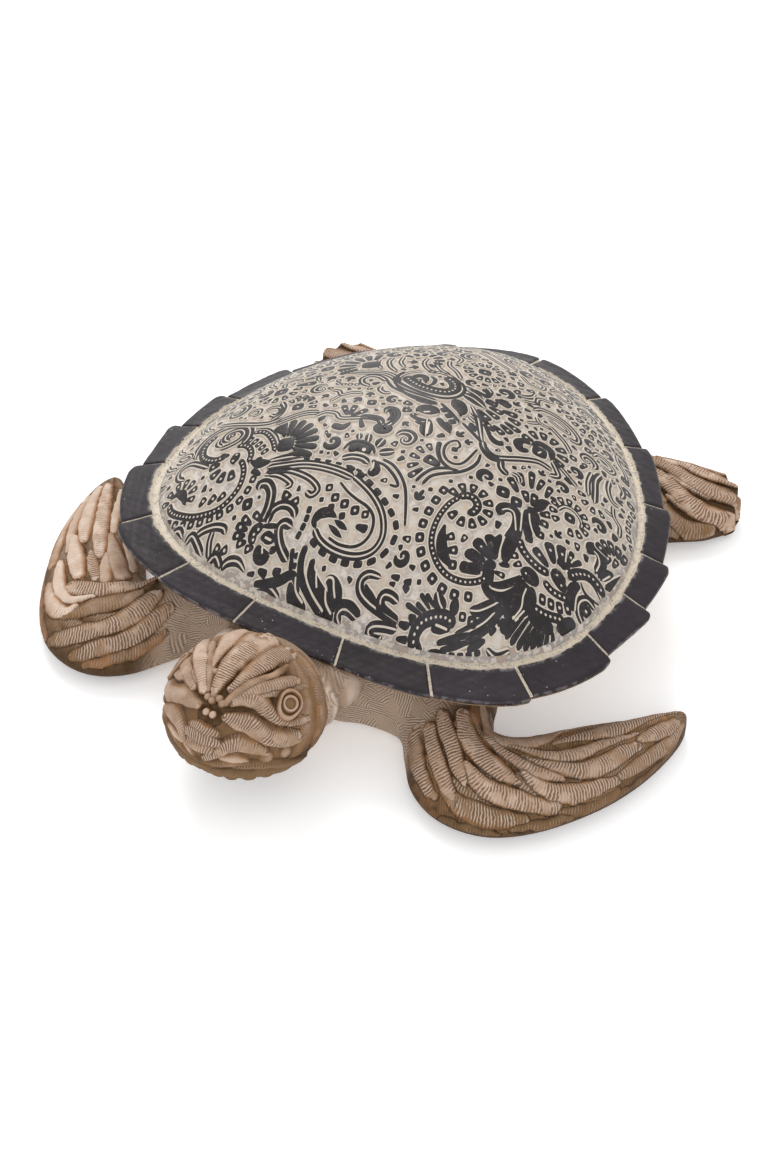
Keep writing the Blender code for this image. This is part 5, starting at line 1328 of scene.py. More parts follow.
def build_rim(material):
    """Slates set in a cream bed round the dome, with chipped edges, over a tan lip."""
    theta, slate, share, groove = slate_columns()
    foot, edge = dome_outline(theta), rim_outline(theta)
    away = (edge - foot) / np.linalg.norm(edge - foot, axis=-1, keepdims=True)
    jut = corner_out(slate, share) * (1 - groove) - EDGE_INSET
    edge = edge + away * jut[:, None]
    inner = foot + (edge - foot) * (GROUT_WIDTH / RIM_BAND)
    from_joint = np.minimum(share, 1 - share) * 60.0
    rounding = np.exp(-from_joint / 0.5) * JOINT_SOFTNESS
    one = np.ones(len(theta))
    rows, stones, places = [], [], []

    def add_row(plan, height, stone, place):
        rows.append(np.concatenate([plan + SHELL_CENTRE, height[:, None]], -1))
        stones.append(stone * (1 - groove))
        places.append(place * one)

    foot_height = RIM_HEIGHT + RIM_RISE
    bed = foot_height - GROUT_DEPTH
    for share_out, height in ((0.0, foot_height - GROUND_SINK), (0.22, bed + 0.05), (0.75, bed)):
        add_row(foot + (inner - foot) * share_out, one * height, 0.0, 0.0)
    band = np.concatenate([(0.0, 0.012, 0.03, 0.055), np.linspace(0.09, 0.86, 20),
                           (0.9, 0.94, 0.968, 0.985)])
    for t in band:
        inward = 1.0 - t
        plan = edge + (inner - edge) * inward
        wall = (np.exp(-t * SLATE_BREADTH / 0.32) * INNER_SOFTNESS
                + np.exp(-(1 - t) * SLATE_BREADTH / 0.5) * EDGE_SOFTNESS)
        height = RIM_HEIGHT + RIM_RISE * inward ** 1.2 - wall - rounding - groove * JOINT_DEPTH
        spot = np.concatenate([plan, height[:, None]], -1)
        rough = 0.10 * wander(spot, 7.0, 11) + 0.06 * wander(spot, 2.2, 12)
        height = height + (1 - groove) * rough - groove * 0.05 * wander(spot, 2.0, 13)
        add_row(plan, height, ramp(t, 0.0, 0.012), t)
    for drop, shift, stone in SLATE_WALL:
        plan = edge - away * shift - away * (groove * 0.6)[:, None]
        height = one * (RIM_HEIGHT - drop)
        spot = np.concatenate([plan, height[:, None]], -1)
        chip = 0.16 * np.abs(wander(spot, 3.2, 14)) * (drop < 5)
        plan = plan - away * (0.2 + chip)[:, None] * (drop > 1.5)
        add_row(plan, height, stone, 1.0 + drop / 10)
    tint = np.random.default_rng(8).uniform(0, 1, slate.max() + 1)[slate]
    attributes = {"stone": np.stack(stones), "place": np.stack(places), "tint": np.stack([tint] * len(rows))}
    faces = grid_faces(len(rows), len(theta), True)[:, ::-1]
    add_mesh("slate_rim", np.concatenate(rows), faces, attributes, material)


# Carved ribbons, which cover the limbs and the head

def place_on_path(points, normals, path):
    """How far each point lies along a path, how far beside it (left is positive) and the path's length."""
    best = np.full(len(points), 1e9)
    beside, along = np.zeros(len(points)), np.zeros(len(points))
    run = 0.0
    for start, end in zip(path, path[1:]):
        step = end - start
        size = math.sqrt(step @ step)
        share = np.clip((points - start) @ step / size ** 2, 0.0, 1.0)
        gap = points - start - share[:, None] * step
        distance = np.sqrt((gap * gap).sum(-1))
        nearer = distance < best
        turn = (np.cross(step, gap) * normals).sum(-1)
        best = np.where(nearer, distance, best)
        beside = np.where(nearer, distance * np.where(turn < 0, -1.0, 1.0), beside)
        along = np.where(nearer, run + size * share, along)
        run += size
    return along, beside, run


class Carving:
    """Raised ribbons over a surface. It keeps, for each point, the highest ribbon's height and looks.

    The hatch lines across the ribbons are pitch apart, and their mark counts them.
    """

    def __init__(self, places, normals, pitch, seed):
        self.places = places.reshape(-1, 3)
        self.pitch = pitch
        self.normals = np.broadcast_to(normals, places.shape).reshape(-1, 3)
        self.shape = places.shape[:-1]
        count = len(self.places)
        self.marks = {"crest": np.zeros(count), "tint": np.full(count, 0.5), "hatch": np.zeros(count),
                      "hatched": np.zeros(count), "wash": np.full(count, 0.3)}
        self.height = np.zeros(count)
        self.rng = np.random.default_rng(seed)

    def ribbon(self, path, half_widths, rise, hatched, wash, lean=0.4):
        """A ribbon along a path, with its half widths along it, how far it stands out, hatch and whitewash.

        It leans like a shingle: lean is how far its crest lies to the right of its middle, as a share of its
        half width. It falls steeply to its right edge and gently to its left one.
        """
        fine = smooth_curve(path, np.linspace(0, 1, 4 * len(path)))
        if fine.shape[1] == 2:
            fine = np.pad(fine, ((0, 0), (0, 1)))
        reach = RIBBON_REACH * max(half_widths)
        inside = (self.places > fine.min(0) - reach) & (self.places < fine.max(0) + reach)
        near = np.flatnonzero(inside.all(-1))
        if len(near) == 0:
            return
        along, beside, run = place_on_path(self.places[near], self.normals[near], fine)
        share = along / run
        half = RIBBON_REACH * np.interp(share, np.linspace(0, 1, len(half_widths)), half_widths)
        seed = int(self.rng.integers(1000))
        ragged = beside + 0.22 * wander(self.places[near], 3.0, seed)
        u = np.clip(ragged / half, -1.0, 1.0)
        side = (u + lean) / np.where(u > -lean, 1 + lean, 1 - lean)
        away = np.abs(np.clip(side, -1.0, 1.0))
        gentle = np.where(side * (lean + 1e-9) > 0, 2.0, 3.4)
        profile = (1 - away ** gentle) ** 0.62
        uneven = 1 + 0.1 * wander(self.places[near], 6.0, seed + 1)
        height = rise * profile * uneven * (0.75 + 0.25 * np.sin(math.pi * share))
        slant, tint = self.rng.uniform(-0.3, 0.3), self.rng.uniform()
        better = height > self.height[near]
        chosen = near[better]
        self.height[chosen] = height[better]
        shown = 1 - away ** np.where(side * (lean + 1e-9) > 0, 1.7, 4.0)
        self.marks["crest"][chosen] = (shown * min(1.0, 0.25 + 0.38 * rise))[better]
        self.marks["hatch"][chosen] = (along + slant * beside + 0.8 * u * u)[better] / self.pitch
        self.marks["hatched"][chosen] = hatched
        self.marks["wash"][chosen] = wash
        self.marks["tint"][chosen] = tint

    def ball(self, centre, radius, rise, wash):
        gap = np.linalg.norm(self.places - centre, axis=-1) / radius
        swell = np.sqrt(np.maximum(0.0, 1 - gap ** 2))
        chosen = rise * swell > np.maximum(self.height, 1e-6)
        self.height[chosen] = (rise * swell)[chosen]
        self.marks["crest"][chosen] = 0.85 * swell[chosen]
        self.marks["hatched"][chosen] = 0.0
        self.marks["wash"][chosen] = wash

    def relief(self):
        return self.height.reshape(self.shape)

    def attributes(self):
        return {name: values.reshape(self.shape) for name, values in self.marks.items()}


# The limbs

def limb_height(across, crown, under, roundness, fullness, crest):
    """Height of a limb's top or underside above the ground, rounded over both edges."""
    edge = np.minimum(FLIPPER_EDGE, crown)
    lower = FLIPPER_LIFT + edge * (1 - np.maximum(0.0, 1 - np.abs(across) ** 4) ** 0.5)
    side = (across - crest) / np.where(across > crest, 1 - crest, 1 + crest)
    bulge = np.maximum(0.0, 1 - np.abs(side) ** fullness) ** 0.7
    return np.where(under, lower, edge + (crown - edge) * bulge * roundness)


def front_limb(along, across, under, side):
    """Points of a front flipper's plain form over a grid of along and across shares."""
    tip = np.maximum(0.0, (along - TIP_START) / (1 - TIP_START))
    taper = np.sqrt(np.maximum(0.0, 1 - tip * tip))
    front, back = smooth_curve(FRONT_LEADING, along), smooth_curve(FRONT_TRAILING, along)
    if side < 0:
        apart = (back - front) / np.linalg.norm(back - front, axis=-1, keepdims=True)
        back = back + apart * (RIGHT_WIDENING * bump(along, 0.62, 0.45))[:, None]
    middle, half = (front + back) / 2, (front - back) / 2 * taper[:, None]
    plan = middle[:, None] + half[:, None] * across[None, :, None]
    if side < 0:
        plan[..., 1] -= RIGHT_REACH * bump(along, 0.45, 0.32)[:, None]
    fullness = 2.2 + 4.5 * bump(along, 0.0, 0.36)
    crown = smooth_curve(FRONT_TOP, along) * UNDER_RIM
    height = limb_height(across[None], crown[:, None], under[None], (0.3 + 0.7 * taper)[:, None],
                         fullness[:, None], FRONT_CREST)
    height[along >= 1.0] = FLIPPER_EDGE / 2
    return np.concatenate([plan * (side, 1) + SHELL_CENTRE, height[..., None]], -1)


def fan_direction():
    """The way the rear flippers point, in plan."""
    middle = (smooth_curve(REAR_LEADING, (0.8, 1.0)) + smooth_curve(REAR_TRAILING, (0.8, 1.0))) / 2
    way = middle[1] - middle[0]
    return way / np.linalg.norm(way)


def rear_limb(along, across, under, side):
    """Points of a rear flipper's plain form, which ends in a broad bowed edge."""
    spread = np.minimum(1.0, along / FAN_START)
    closing = np.clip((along - FAN_START) / (1 - FAN_START), 0.0, 1.0)
    front, back = smooth_curve(REAR_LEADING, spread), smooth_curve(REAR_TRAILING, spread)
    middle, half = (front + back) / 2, (front - back) / 2
    plan = middle[:, None] + half[:, None] * across[None, :, None]
    bow = FAN_BULGE * (1 - across[None] ** 2) * spread[:, None] ** 3 + FAN_THICKNESS * closing[:, None]
    plan = plan + fan_direction() * bow[..., None]
    crown = smooth_curve(REAR_TOP, spread) * UNDER_RIM
    height = limb_height(across[None], crown[:, None], under[None], 1.0, 2.4, REAR_CREST)
    edge = FLIPPER_EDGE / 2 + np.where(under, -0.5, 0.5) * FAN_THICKNESS
    height = height + (edge[None] - height) * closing[:, None] ** 1.5
    return np.concatenate([plan * (side, 1) + SHELL_CENTRE, height[..., None]], -1)


def limb_grid(form, side, stations, top, bottom):
    """A closed tube of points round a limb, its top first from leading to trailing edge."""
    upper = -np.cos(np.linspace(math.pi, 0, top))
    upper = 0.62 * np.linspace(1, -1, top) + 0.38 * upper
    lower = -np.cos(np.linspace(0, math.pi, bottom + 2)[1:-1])
    across = np.concatenate([upper, lower])
    under = np.concatenate([np.zeros(top, bool), np.ones(bottom, bool)])
    return form(stations, across, under, side), across, under


def plan_places(base, under):
    """The plan places of a limb's upper points about the carapace's centre, with its underside put away."""
    flat = base * (1.0, 1.0, 0.0) - (*SHELL_CENTRE, 0.0)
    flat[..., 2] += np.where(under, PUT_AWAY, 0.0)
    return flat


def fill_ridges(carving, base, under, side, ridges, start, rise):
    """Low ridges along a limb, which show where no leaf lies over them."""
    top = np.flatnonzero(~under)
    for ridge in range(ridges):
        column = top[int((ridge + 0.5) / ridges * len(top))]
        picked = np.linspace(start, len(base) - 6, 12).astype(int)
        path = (base[picked, column] - (*SHELL_CENTRE, 0.0))[:, :2]
        across = np.linalg.norm(base[picked, top[2]] - base[picked, top[-3]], axis=-1)
        carving.ribbon(path, 0.56 / ridges * across, rise, 0.5, 0.15, -0.4 * side)


def add_limb(name, side, base, under, stations, carving, skin, painted, material):
    """Raises a limb's carving off its plain form.

    Skin is 1 where the surface is plain skin between ribbons. Painted is painted shade: the share of crest
    and whitewash kept, lower on a shaded edge.
    """
    tip = 1 - ramp(stations, 0.94, 1.0)
    settle = tip[:, None] * np.where(under, 0.0, 1.0)[None]
    normal = grid_normals(base)
    if normal[len(stations) // 2, len(under) // 3, 2] < 0:
        normal = -normal
    relief = (carving.relief() + 0.1 * wander(base, 5.0, 5) + 0.05 * wander(base, 2.0, 6)) * settle
    points = base + normal * relief[..., None] * SIDEWAYS
    points[..., 2] = np.maximum(points[..., 2], FLIPPER_LIFT)
    points[..., 0] *= 1 - TIP_TRIM * ramp(stations, 0.6, 1.0)[:, None]
    attributes = carving.attributes()
    # Painted shade: crest and whitewash are lowered wherever painted is under 1, so that part reads darker.
    attributes["crest"] = attributes["crest"] * painted
    attributes["wash"] = attributes["wash"] * painted
    attributes["skin"] = skin * (1 - ramp(attributes["crest"], 0.0, 0.25))
    attributes["crest"] = np.maximum(attributes["crest"], 0.55 * skin)
    faces = grid_faces(len(stations), len(under), True)
    if side < 0:
        faces = faces[:, ::-1]
    add_mesh(name, points.reshape(-1, 3), faces, attributes, material)


def build_front_limb(side, material):
    stations = np.concatenate([np.linspace(0.0, 0.2, 26), np.linspace(0.206, 0.9, 266),
                               1 - 0.1 * np.linspace(1, 0, 31)[1:] ** 1.7])
    base, across, under = limb_grid(front_limb, side, stations, *FRONT_GRID)
    carving = Carving(plan_places(base, under), UPRIGHT, LIMB_HATCH, 20 + side)
    fill_ridges(carving, base, under, side, 7, 92, 0.7)
    carving.marks["hatch"] = row_lengths(base).ravel() / LIMB_HATCH
    carving.marks["hatched"][:] = 0.9
    carving.marks["wash"][:] = 0.12
    for leaf in LEFT_LEAVES if side > 0 else RIGHT_LEAVES:
        carving.ribbon(*leaf)
    skin = 1 - ramp(stations, 0.27, 0.36)[:, None]
    # Painted shade along each front flipper's leading edge: up to half of its crest and whitewash are taken
    # away there.
    painted = 1 - 0.5 * ramp(across, 0.66, 0.96)
    name = "front_flipper_left" if side > 0 else "front_flipper_right"
    add_limb(name, side, base, under, stations, carving, skin, painted, material)


def build_rear_limb(side, material):
    stations = np.concatenate([np.linspace(0.0, 0.94, 165), np.linspace(0.945, 1.0, 12)])
    base, across, under = limb_grid(rear_limb, side, stations, *REAR_GRID)
    places = plan_places(base, under) * (side, 1.0, 1.0)
    carving = Carving(places, UPRIGHT, LIMB_HATCH, 40 + side)
    carving.marks["hatch"] = row_lengths(base).ravel() / LIMB_HATCH
    carving.marks["hatched"][:] = 0.7
    for rib in REAR_RIBS:
        carving.ribbon(*rib)
    ribs = [OUTERMOST * (1 - (2 * rib + 1) / REAR_RIB_COUNT) + 0.2 / REAR_RIB_COUNT
            for rib in range(REAR_RIB_COUNT)]
    scallop = sum(bump(across, rib, 0.26) for rib in ribs)
    jut = SCALLOP_DEPTH * np.clip((stations[:, None] - 0.7) / 0.25, 0.0, 1.0) * scallop[None]
    base[..., :2] += (fan_direction() * (side, 1)) * jut[..., None]
    name = "rear_flipper_left" if side > 0 else "rear_flipper_right"
    add_limb(name, side, base, under, stations, carving, 0.0, 1.0, material)


# The head, in turns and lifts about its middle

def head_directions(reach, bearing):
    """Unit directions from an angle from the knot and a bearing from straight back, in radians."""
    lift = math.radians(KNOT_LIFT)
    knot = np.array([0.0, -math.cos(lift), math.sin(lift)])
    back = np.array([0.0, math.sin(lift), math.cos(lift)])
    left = np.cross(back, knot)
    a, b = reach[..., None], bearing[..., None]
    return knot * np.cos(a) + (back * np.cos(b) + left * np.sin(b)) * np.sin(a)


def on_head(places):
    """Points of the head's plain form about its centre, from (turn, lift) in degrees."""
    turn, lift = np.radians(np.asarray(places, float)).T
    way = np.stack([np.sin(turn) * np.cos(lift), -np.cos(turn) * np.cos(lift), np.sin(lift)], -1)
    return way * HEAD_RADII


def build_head(material):
    reach = np.radians(np.concatenate([np.linspace(0.05, 8, 14), np.linspace(8.4, 100, 188),
                                       np.linspace(101.5, 172, 36)]))
    bearing = np.linspace(-math.pi, math.pi, 312, endpoint=False)
    grid_reach, grid_bearing = np.meshgrid(reach, bearing, indexing="ij")
    direction = head_directions(grid_reach, grid_bearing)
    ball = direction * HEAD_RADII
    normals = direction / HEAD_RADII
    normals /= np.linalg.norm(normals, axis=-1, keepdims=True)
    lift = np.degrees(np.arcsin(np.clip(direction[..., 2], -1, 1)))
    turn = np.degrees(np.arctan2(direction[..., 0], -direction[..., 1]))

    carving = Carving(ball, normals, HEAD_HATCH, 77)
    for path, *marks in CROWN_LOCKS:
        carving.ribbon(on_head(path), *marks, -0.15)
    for side in (1, -1):
        for path, half_widths, rise, hatched, wash in FACE_BANDS:
            shown = hatched if side > 0 else RIGHT_CHEEK_HATCH * hatched
            carving.ribbon(on_head(path) * (side, 1, 1), half_widths, rise, shown, wash, 0.3 * side)
        for place, radius, rise, wash in FACE_BALLS:
            carving.ball(on_head([place])[0] * (side, 1, 1), radius, rise, wash)
    for path, *marks in BEAK_BANDS:
        carving.ribbon(on_head(path), *marks, 0.3)
    for place in KNOT_BALLS:
        carving.ball(on_head([place])[0], *KNOT_BALL)

    # The socket round each eye and the dark hollow of the nostrils
    socket = np.zeros(carving.shape)
    hollow = np.zeros(carving.shape)
    for side in (1, -1):
        eye = on_head([EYE_PLACES[side]])[0]
        socket = np.maximum(socket, 1 - ramp(np.linalg.norm(ball - eye, axis=-1), *SOCKET_REACH))
        nostril = on_head([NOSTRIL_PLACE])[0] * (side, 1, 1)
        hollow = np.maximum(hollow, 1 - ramp(np.linalg.norm(ball - nostril, axis=-1), *NOSTRIL_REACH))
    relief = carving.relief()
    attributes = carving.attributes()
    relief = relief * (1 - socket) + 0.3 * socket
    nose = hollow * (relief < 1.6)
    relief = relief - 0.5 * nose + BEAK_DEPTH * 0.6 * bump(turn, 0, 16) * bump(lift, 22, 26)
    mouth = on_head([(angle, np.interp(angle, MOUTH_TURNS, MOUTH_LIFTS)) for angle in range(0, 96, 6)])
    for side in (1, -1):
        beside = place_on_path(ball.reshape(-1, 3), normals.reshape(-1, 3), mouth * (side, 1, 1))[1]
        line = bump(beside, 0, 0.9).reshape(relief.shape)
        relief = relief - MOUTH_DEPTH * 0.7 * line * (side * turn >= 0)
    relief += 0.08 * wander(ball, 5.0, 9) + 0.04 * wander(ball, 1.8, 10)
    points = HEAD_CENTRE + direction * (HEAD_RADII + relief[..., None] - HEAD_INSET)
    crown = ramp(lift, 44, 56) * (1 - ramp(np.abs(turn), 100, 130))
    base = 0.36 + 0.14 * ramp(np.abs(turn), 62, 88)
    base = base * (1 - nose) * (1 - 0.9 * crown) * ramp(lift, -50, 6)
    behind = ramp(np.abs(turn), 95, 120) * (1 - ramp(lift, 40, 60))
    attributes["crest"] = np.maximum(attributes["crest"] * (1 - 0.5 * socket), base)
    attributes["crest"] = attributes["crest"] * (1 - nose) + 0.2 * nose
    attributes["hatched"] = attributes["hatched"] * (1 - socket)
    upper = ramp(lift, -12, 14)
    attributes["wash"] = attributes["wash"] * (0.3 + 0.45 * upper)
    attributes["tint"] = attributes["tint"] * (0.5 + 0.5 * upper)
    attributes["crest"] = attributes["crest"] * (0.48 + 0.46 * upper)
    attributes["skin"] = behind * (1 - ramp(relief, 0.2, 0.6)) * 0.8
    faces = grid_faces(len(reach), len(bearing), True)
    add_mesh("head", points.reshape(-1, 3), faces, attributes, material)


def plain_attributes(shape, crest, wash, tint=0.5, hatch=0.0, skin=1.0):
    """The marks that the resin's looks read, for a surface without ribbons."""
    marks = {"crest": crest, "tint": tint, "hatch": hatch, "hatched": 0.0, "wash": wash, "skin": skin}
    return {name: np.broadcast_to(values, shape) for name, values in marks.items()}


def build_eye(side, material):
    """The raised ring of an eye with its lids, and the eyeball with a drilled pupil sunk in it."""
    middle = on_head([EYE_PLACES[side]])[0]
    centre = HEAD_CENTRE + middle
    out = middle / HEAD_RADII ** 2
    out /= np.linalg.norm(out)
    ahead = np.array([0.0, -1.0, 0.0])
    ahead -= out * (ahead @ out)
    ahead /= np.linalg.norm(ahead)
    up = np.cross(ahead, out) * side
    if up[2] < 0:
        up = -up
    spin = np.linspace(0, math.tau, 72, endpoint=False)
    share, height = EYE_PROFILE.T
    lid = np.maximum(0.0, np.cos(spin + 0.25)) ** 3 + 0.35 * np.maximum(0.0, np.cos(spin - 2.4)) ** 3
    reach = EYE_RADIUS * share[:, None] * (1 + LID_REACH * lid * ramp(share, 0.62, 0.95)[:, None])
    rise = height[:, None] * (1 + 0.12 * np.sin(spin * 2 + 0.6) * share[:, None])
    points = (centre + ahead * (reach * np.cos(spin))[..., None]
              + up * (reach * np.sin(spin) * 0.92)[..., None] + out * (rise - EYE_SINK)[..., None])
    points += out * (0.07 * wander(points, 1.8, 15))[..., None]
    crest = np.interp(share, *EYE_CREST)[:, None]
    faces = grid_faces(len(share), len(spin), True)
    if side < 0:
        faces = faces[:, ::-1]
    attributes = plain_attributes(points.shape[:2], crest, 0.5, 0.45, spin * 5.0, 0.0)
    add_mesh("eye_left" if side > 0 else "eye_right", points.reshape(-1, 3), faces, attributes, material)


# The neck, body and tail

def build_neck(material):
    """The neck from inside the head to under the carapace, with soft folds of skin."""
    share = np.linspace(0.0, 1.0, NECK_GRID[0])[:, None]
    spin = np.linspace(0, math.tau, NECK_GRID[1], endpoint=False)[None]
    axis = HEAD_CENTRE[2]
    radius = NECK_RADIUS * (0.8 + 0.2 * share)
    above = UNDER_RIM - axis + NECK_SWELL * (1 - share)
    height = np.sin(spin) * np.where(np.sin(spin) > 0, above, 0.75 * radius)
    run = HEAD_CENTRE[1] + NECK_LENGTH * share
    base = np.stack([radius * np.cos(spin), run + 0 * spin, axis + height], -1)
    fold = 0.7 * np.sin(share * 26 + 1.4 * np.cos(spin) + wander(base, 18.0, 16)) * (share > 0.25)
    relief = fold + 0.2 * wander(base, 4.0, 17)
    normal = grid_normals(base)
    if normal[30, 40, 2] < 0:
        normal = -normal
    points = base + normal * relief[..., None]
    attributes = plain_attributes(NECK_GRID, np.clip(0.62 + 0.4 * fold, 0, 1), 0.7)
    add_mesh("neck", points.reshape(-1, 3), grid_faces(*NECK_GRID, True), attributes, material)


def build_body(material):
    """The body's wall under the carapace, rounded in to a flat belly."""
    share, height = smooth_curve(BODY_PROFILE, np.linspace(0, 1, 48)).T
    height = np.where(share < BELLY_SHARE, 0.0, np.maximum(height, 0.0))
    theta = np.linspace(0, math.tau, 400, endpoint=False)
    wall = outline(theta, SHELL_WIDTH / 2 - BODY_INSET, SHELL_FRONT - BODY_INSET, SHELL_REAR - BODY_INSET,
                   *BODY_POWERS)
    plan = wall[None] * share[:, None, None] + SHELL_CENTRE
    base = np.concatenate([plan, np.broadcast_to(height[:, None, None], plan.shape[:2] + (1,))], -1)
    risen = ramp(height, 1.0, 6.0)[:, None]
    out = wall / np.linalg.norm(wall, axis=-1, keepdims=True)
    push = (0.35 * wander(base, 12.0, 18) + 0.15 * wander(base, 3.5, 19)) * risen
    base[..., :2] += out[None] * push[..., None]
    crest = np.clip(0.5 + 0.4 * wander(base, 12.0, 18), 0, 1)
    faces = grid_faces(len(share), len(theta), True)[:, ::-1]
    add_mesh("body", base.reshape(-1, 3), faces, plain_attributes(plan.shape[:2], crest, 0.65), material)


def build_tail(material):
    """The short tail, ringed with shallow folds."""
    share = np.linspace(0.0, 1.0, TAIL_GRID[0])[:, None]
    spin = np.linspace(0, math.tau, TAIL_GRID[1], endpoint=False)[None]
    root = SHELL_CENTRE[1] + SHELL_REAR - 1.3 * BODY_INSET
    fold = 0.28 * np.sin(share * 34 + 0.6 * np.cos(spin))
    fold = fold * ramp(share, 0.05, 0.2) * (1 - ramp(share, 0.8, 1.0))
    radius = TAIL_RADIUS * (1 - 0.9 * share) - TAIL_INSET + fold
    run = root + TAIL_LENGTH * share
    points = np.stack([radius * np.cos(spin), run + 0 * spin, TAIL_HEIGHT + radius * np.sin(spin)], -1)
    attributes = plain_attributes(TAIL_GRID, np.clip(0.5 + 1.6 * fold, 0, 1), 0.5)
    add_mesh("tail", points.reshape(-1, 3), grid_faces(*TAIL_GRID, True), attributes, material)


# Materials

def linear(red, green, blue):
    """A colour given as 0 to 255 screen values, as the shader wants it."""
    values = [v / 255 for v in (red, green, blue)]
    return tuple(v / 12.92 if v <= 0.04045 else ((v + 0.055) / 1.055) ** 2.4 for v in values) + (1.0,)


class Looks:
    """A node material in the making. Each call adds a node and returns its output socket."""

    def __init__(self, name, roughness):
        self.material = bpy.data.materials.new(name)
        self.material.use_nodes = True
        self.tree = self.material.node_tree
        self.shader = self.tree.nodes["Principled BSDF"]
        self.shader.inputs["Roughness"].default_value = roughness
        self.place = self.node("ShaderNodeTexCoord").outputs["Object"]

    def node(self, kind, **settings):
        made = self.tree.nodes.new(kind)
        for key, value in settings.items():
            setattr(made, key, value)
        return made

    def feed(self, socket, value):
        if isinstance(value, bpy.types.NodeSocket):
            self.tree.links.new(value, socket)
        else:
            socket.default_value = value

    def math(self, operation, *values, clamp=False):
        made = self.node("ShaderNodeMath", operation=operation, use_clamp=clamp)
        for socket, value in zip(made.inputs, values):
            self.feed(socket, value)
        return made.outputs[0]

    def times(self, a, b, clamp=False):
        return self.math("MULTIPLY", a, b, clamp=clamp)

    def plus(self, a, b):
        return self.math("ADD", a, b)

    def rest_of(self, a):
        """What is left of 1 when a is taken away."""
        return self.math("SUBTRACT", 1.0, a)

    def dot(self, a, b):
        made = self.node("ShaderNodeVectorMath", operation="DOT_PRODUCT")
        self.feed(made.inputs[0], a)
        self.feed(made.inputs[1], b)
        return made.outputs["Value"]

    def attribute(self, name):
        return self.node("ShaderNodeAttribute", attribute_name=name).outputs["Fac"]

    def noise(self, size, detail, roughness=0.5):
        """Noise from 0 to 1 with features about size millimetres across."""
        made = self.node("ShaderNodeTexNoise")
        self.feed(made.inputs["Vector"], self.place)
        made.inputs["Scale"].default_value = 1.0 / (size * MM)
        made.inputs["Detail"].default_value = detail
        made.inputs["Roughness"].default_value = roughness
        return made.outputs["Fac"]

    def cells(self, size):
        """Cells about size millimetres across, each with a colour and the distance from its middle."""
        made = self.node("ShaderNodeTexVoronoi")
        self.feed(made.inputs["Vector"], self.place)
        made.inputs["Scale"].default_value = 1.0 / (size * MM)
        return made

    def step(self, value, low, high):
        """0 where the value is below low, 1 where it is above high and smooth between."""
        made = self.node("ShaderNodeMapRange", interpolation_type="SMOOTHSTEP")
        self.feed(made.inputs["Value"], value)
        made.inputs["From Min"].default_value = low
        made.inputs["From Max"].default_value = high
        return made.outputs["Result"]

    def mix(self, factor, a, b):
        """Colour a where the factor is 0 and b where it is 1."""
        made = self.node("ShaderNodeMix", data_type="RGBA")
        made.clamp_factor = True
        self.feed(made.inputs[0], factor)
        self.feed(made.inputs[6], a)
        self.feed(made.inputs[7], b)
        return made.outputs[2]

    def finish(self, colour, roughness, height, depth, specular=0.5):
        """Colour and roughness sockets, and a height socket that stands for depth in millimetres."""
        self.feed(self.shader.inputs["Base Color"], colour)
        self.feed(self.shader.inputs["Roughness"], roughness)
        self.shader.inputs["Specular IOR Level"].default_value = specular
        bump_node = self.node("ShaderNodeBump")
        bump_node.inputs["Strength"].default_value = 1.0
        bump_node.inputs["Distance"].default_value = depth * MM
        self.feed(bump_node.inputs["Height"], height)
        self.feed(self.shader.inputs["Normal"], bump_node.outputs["Normal"])
        return self.material


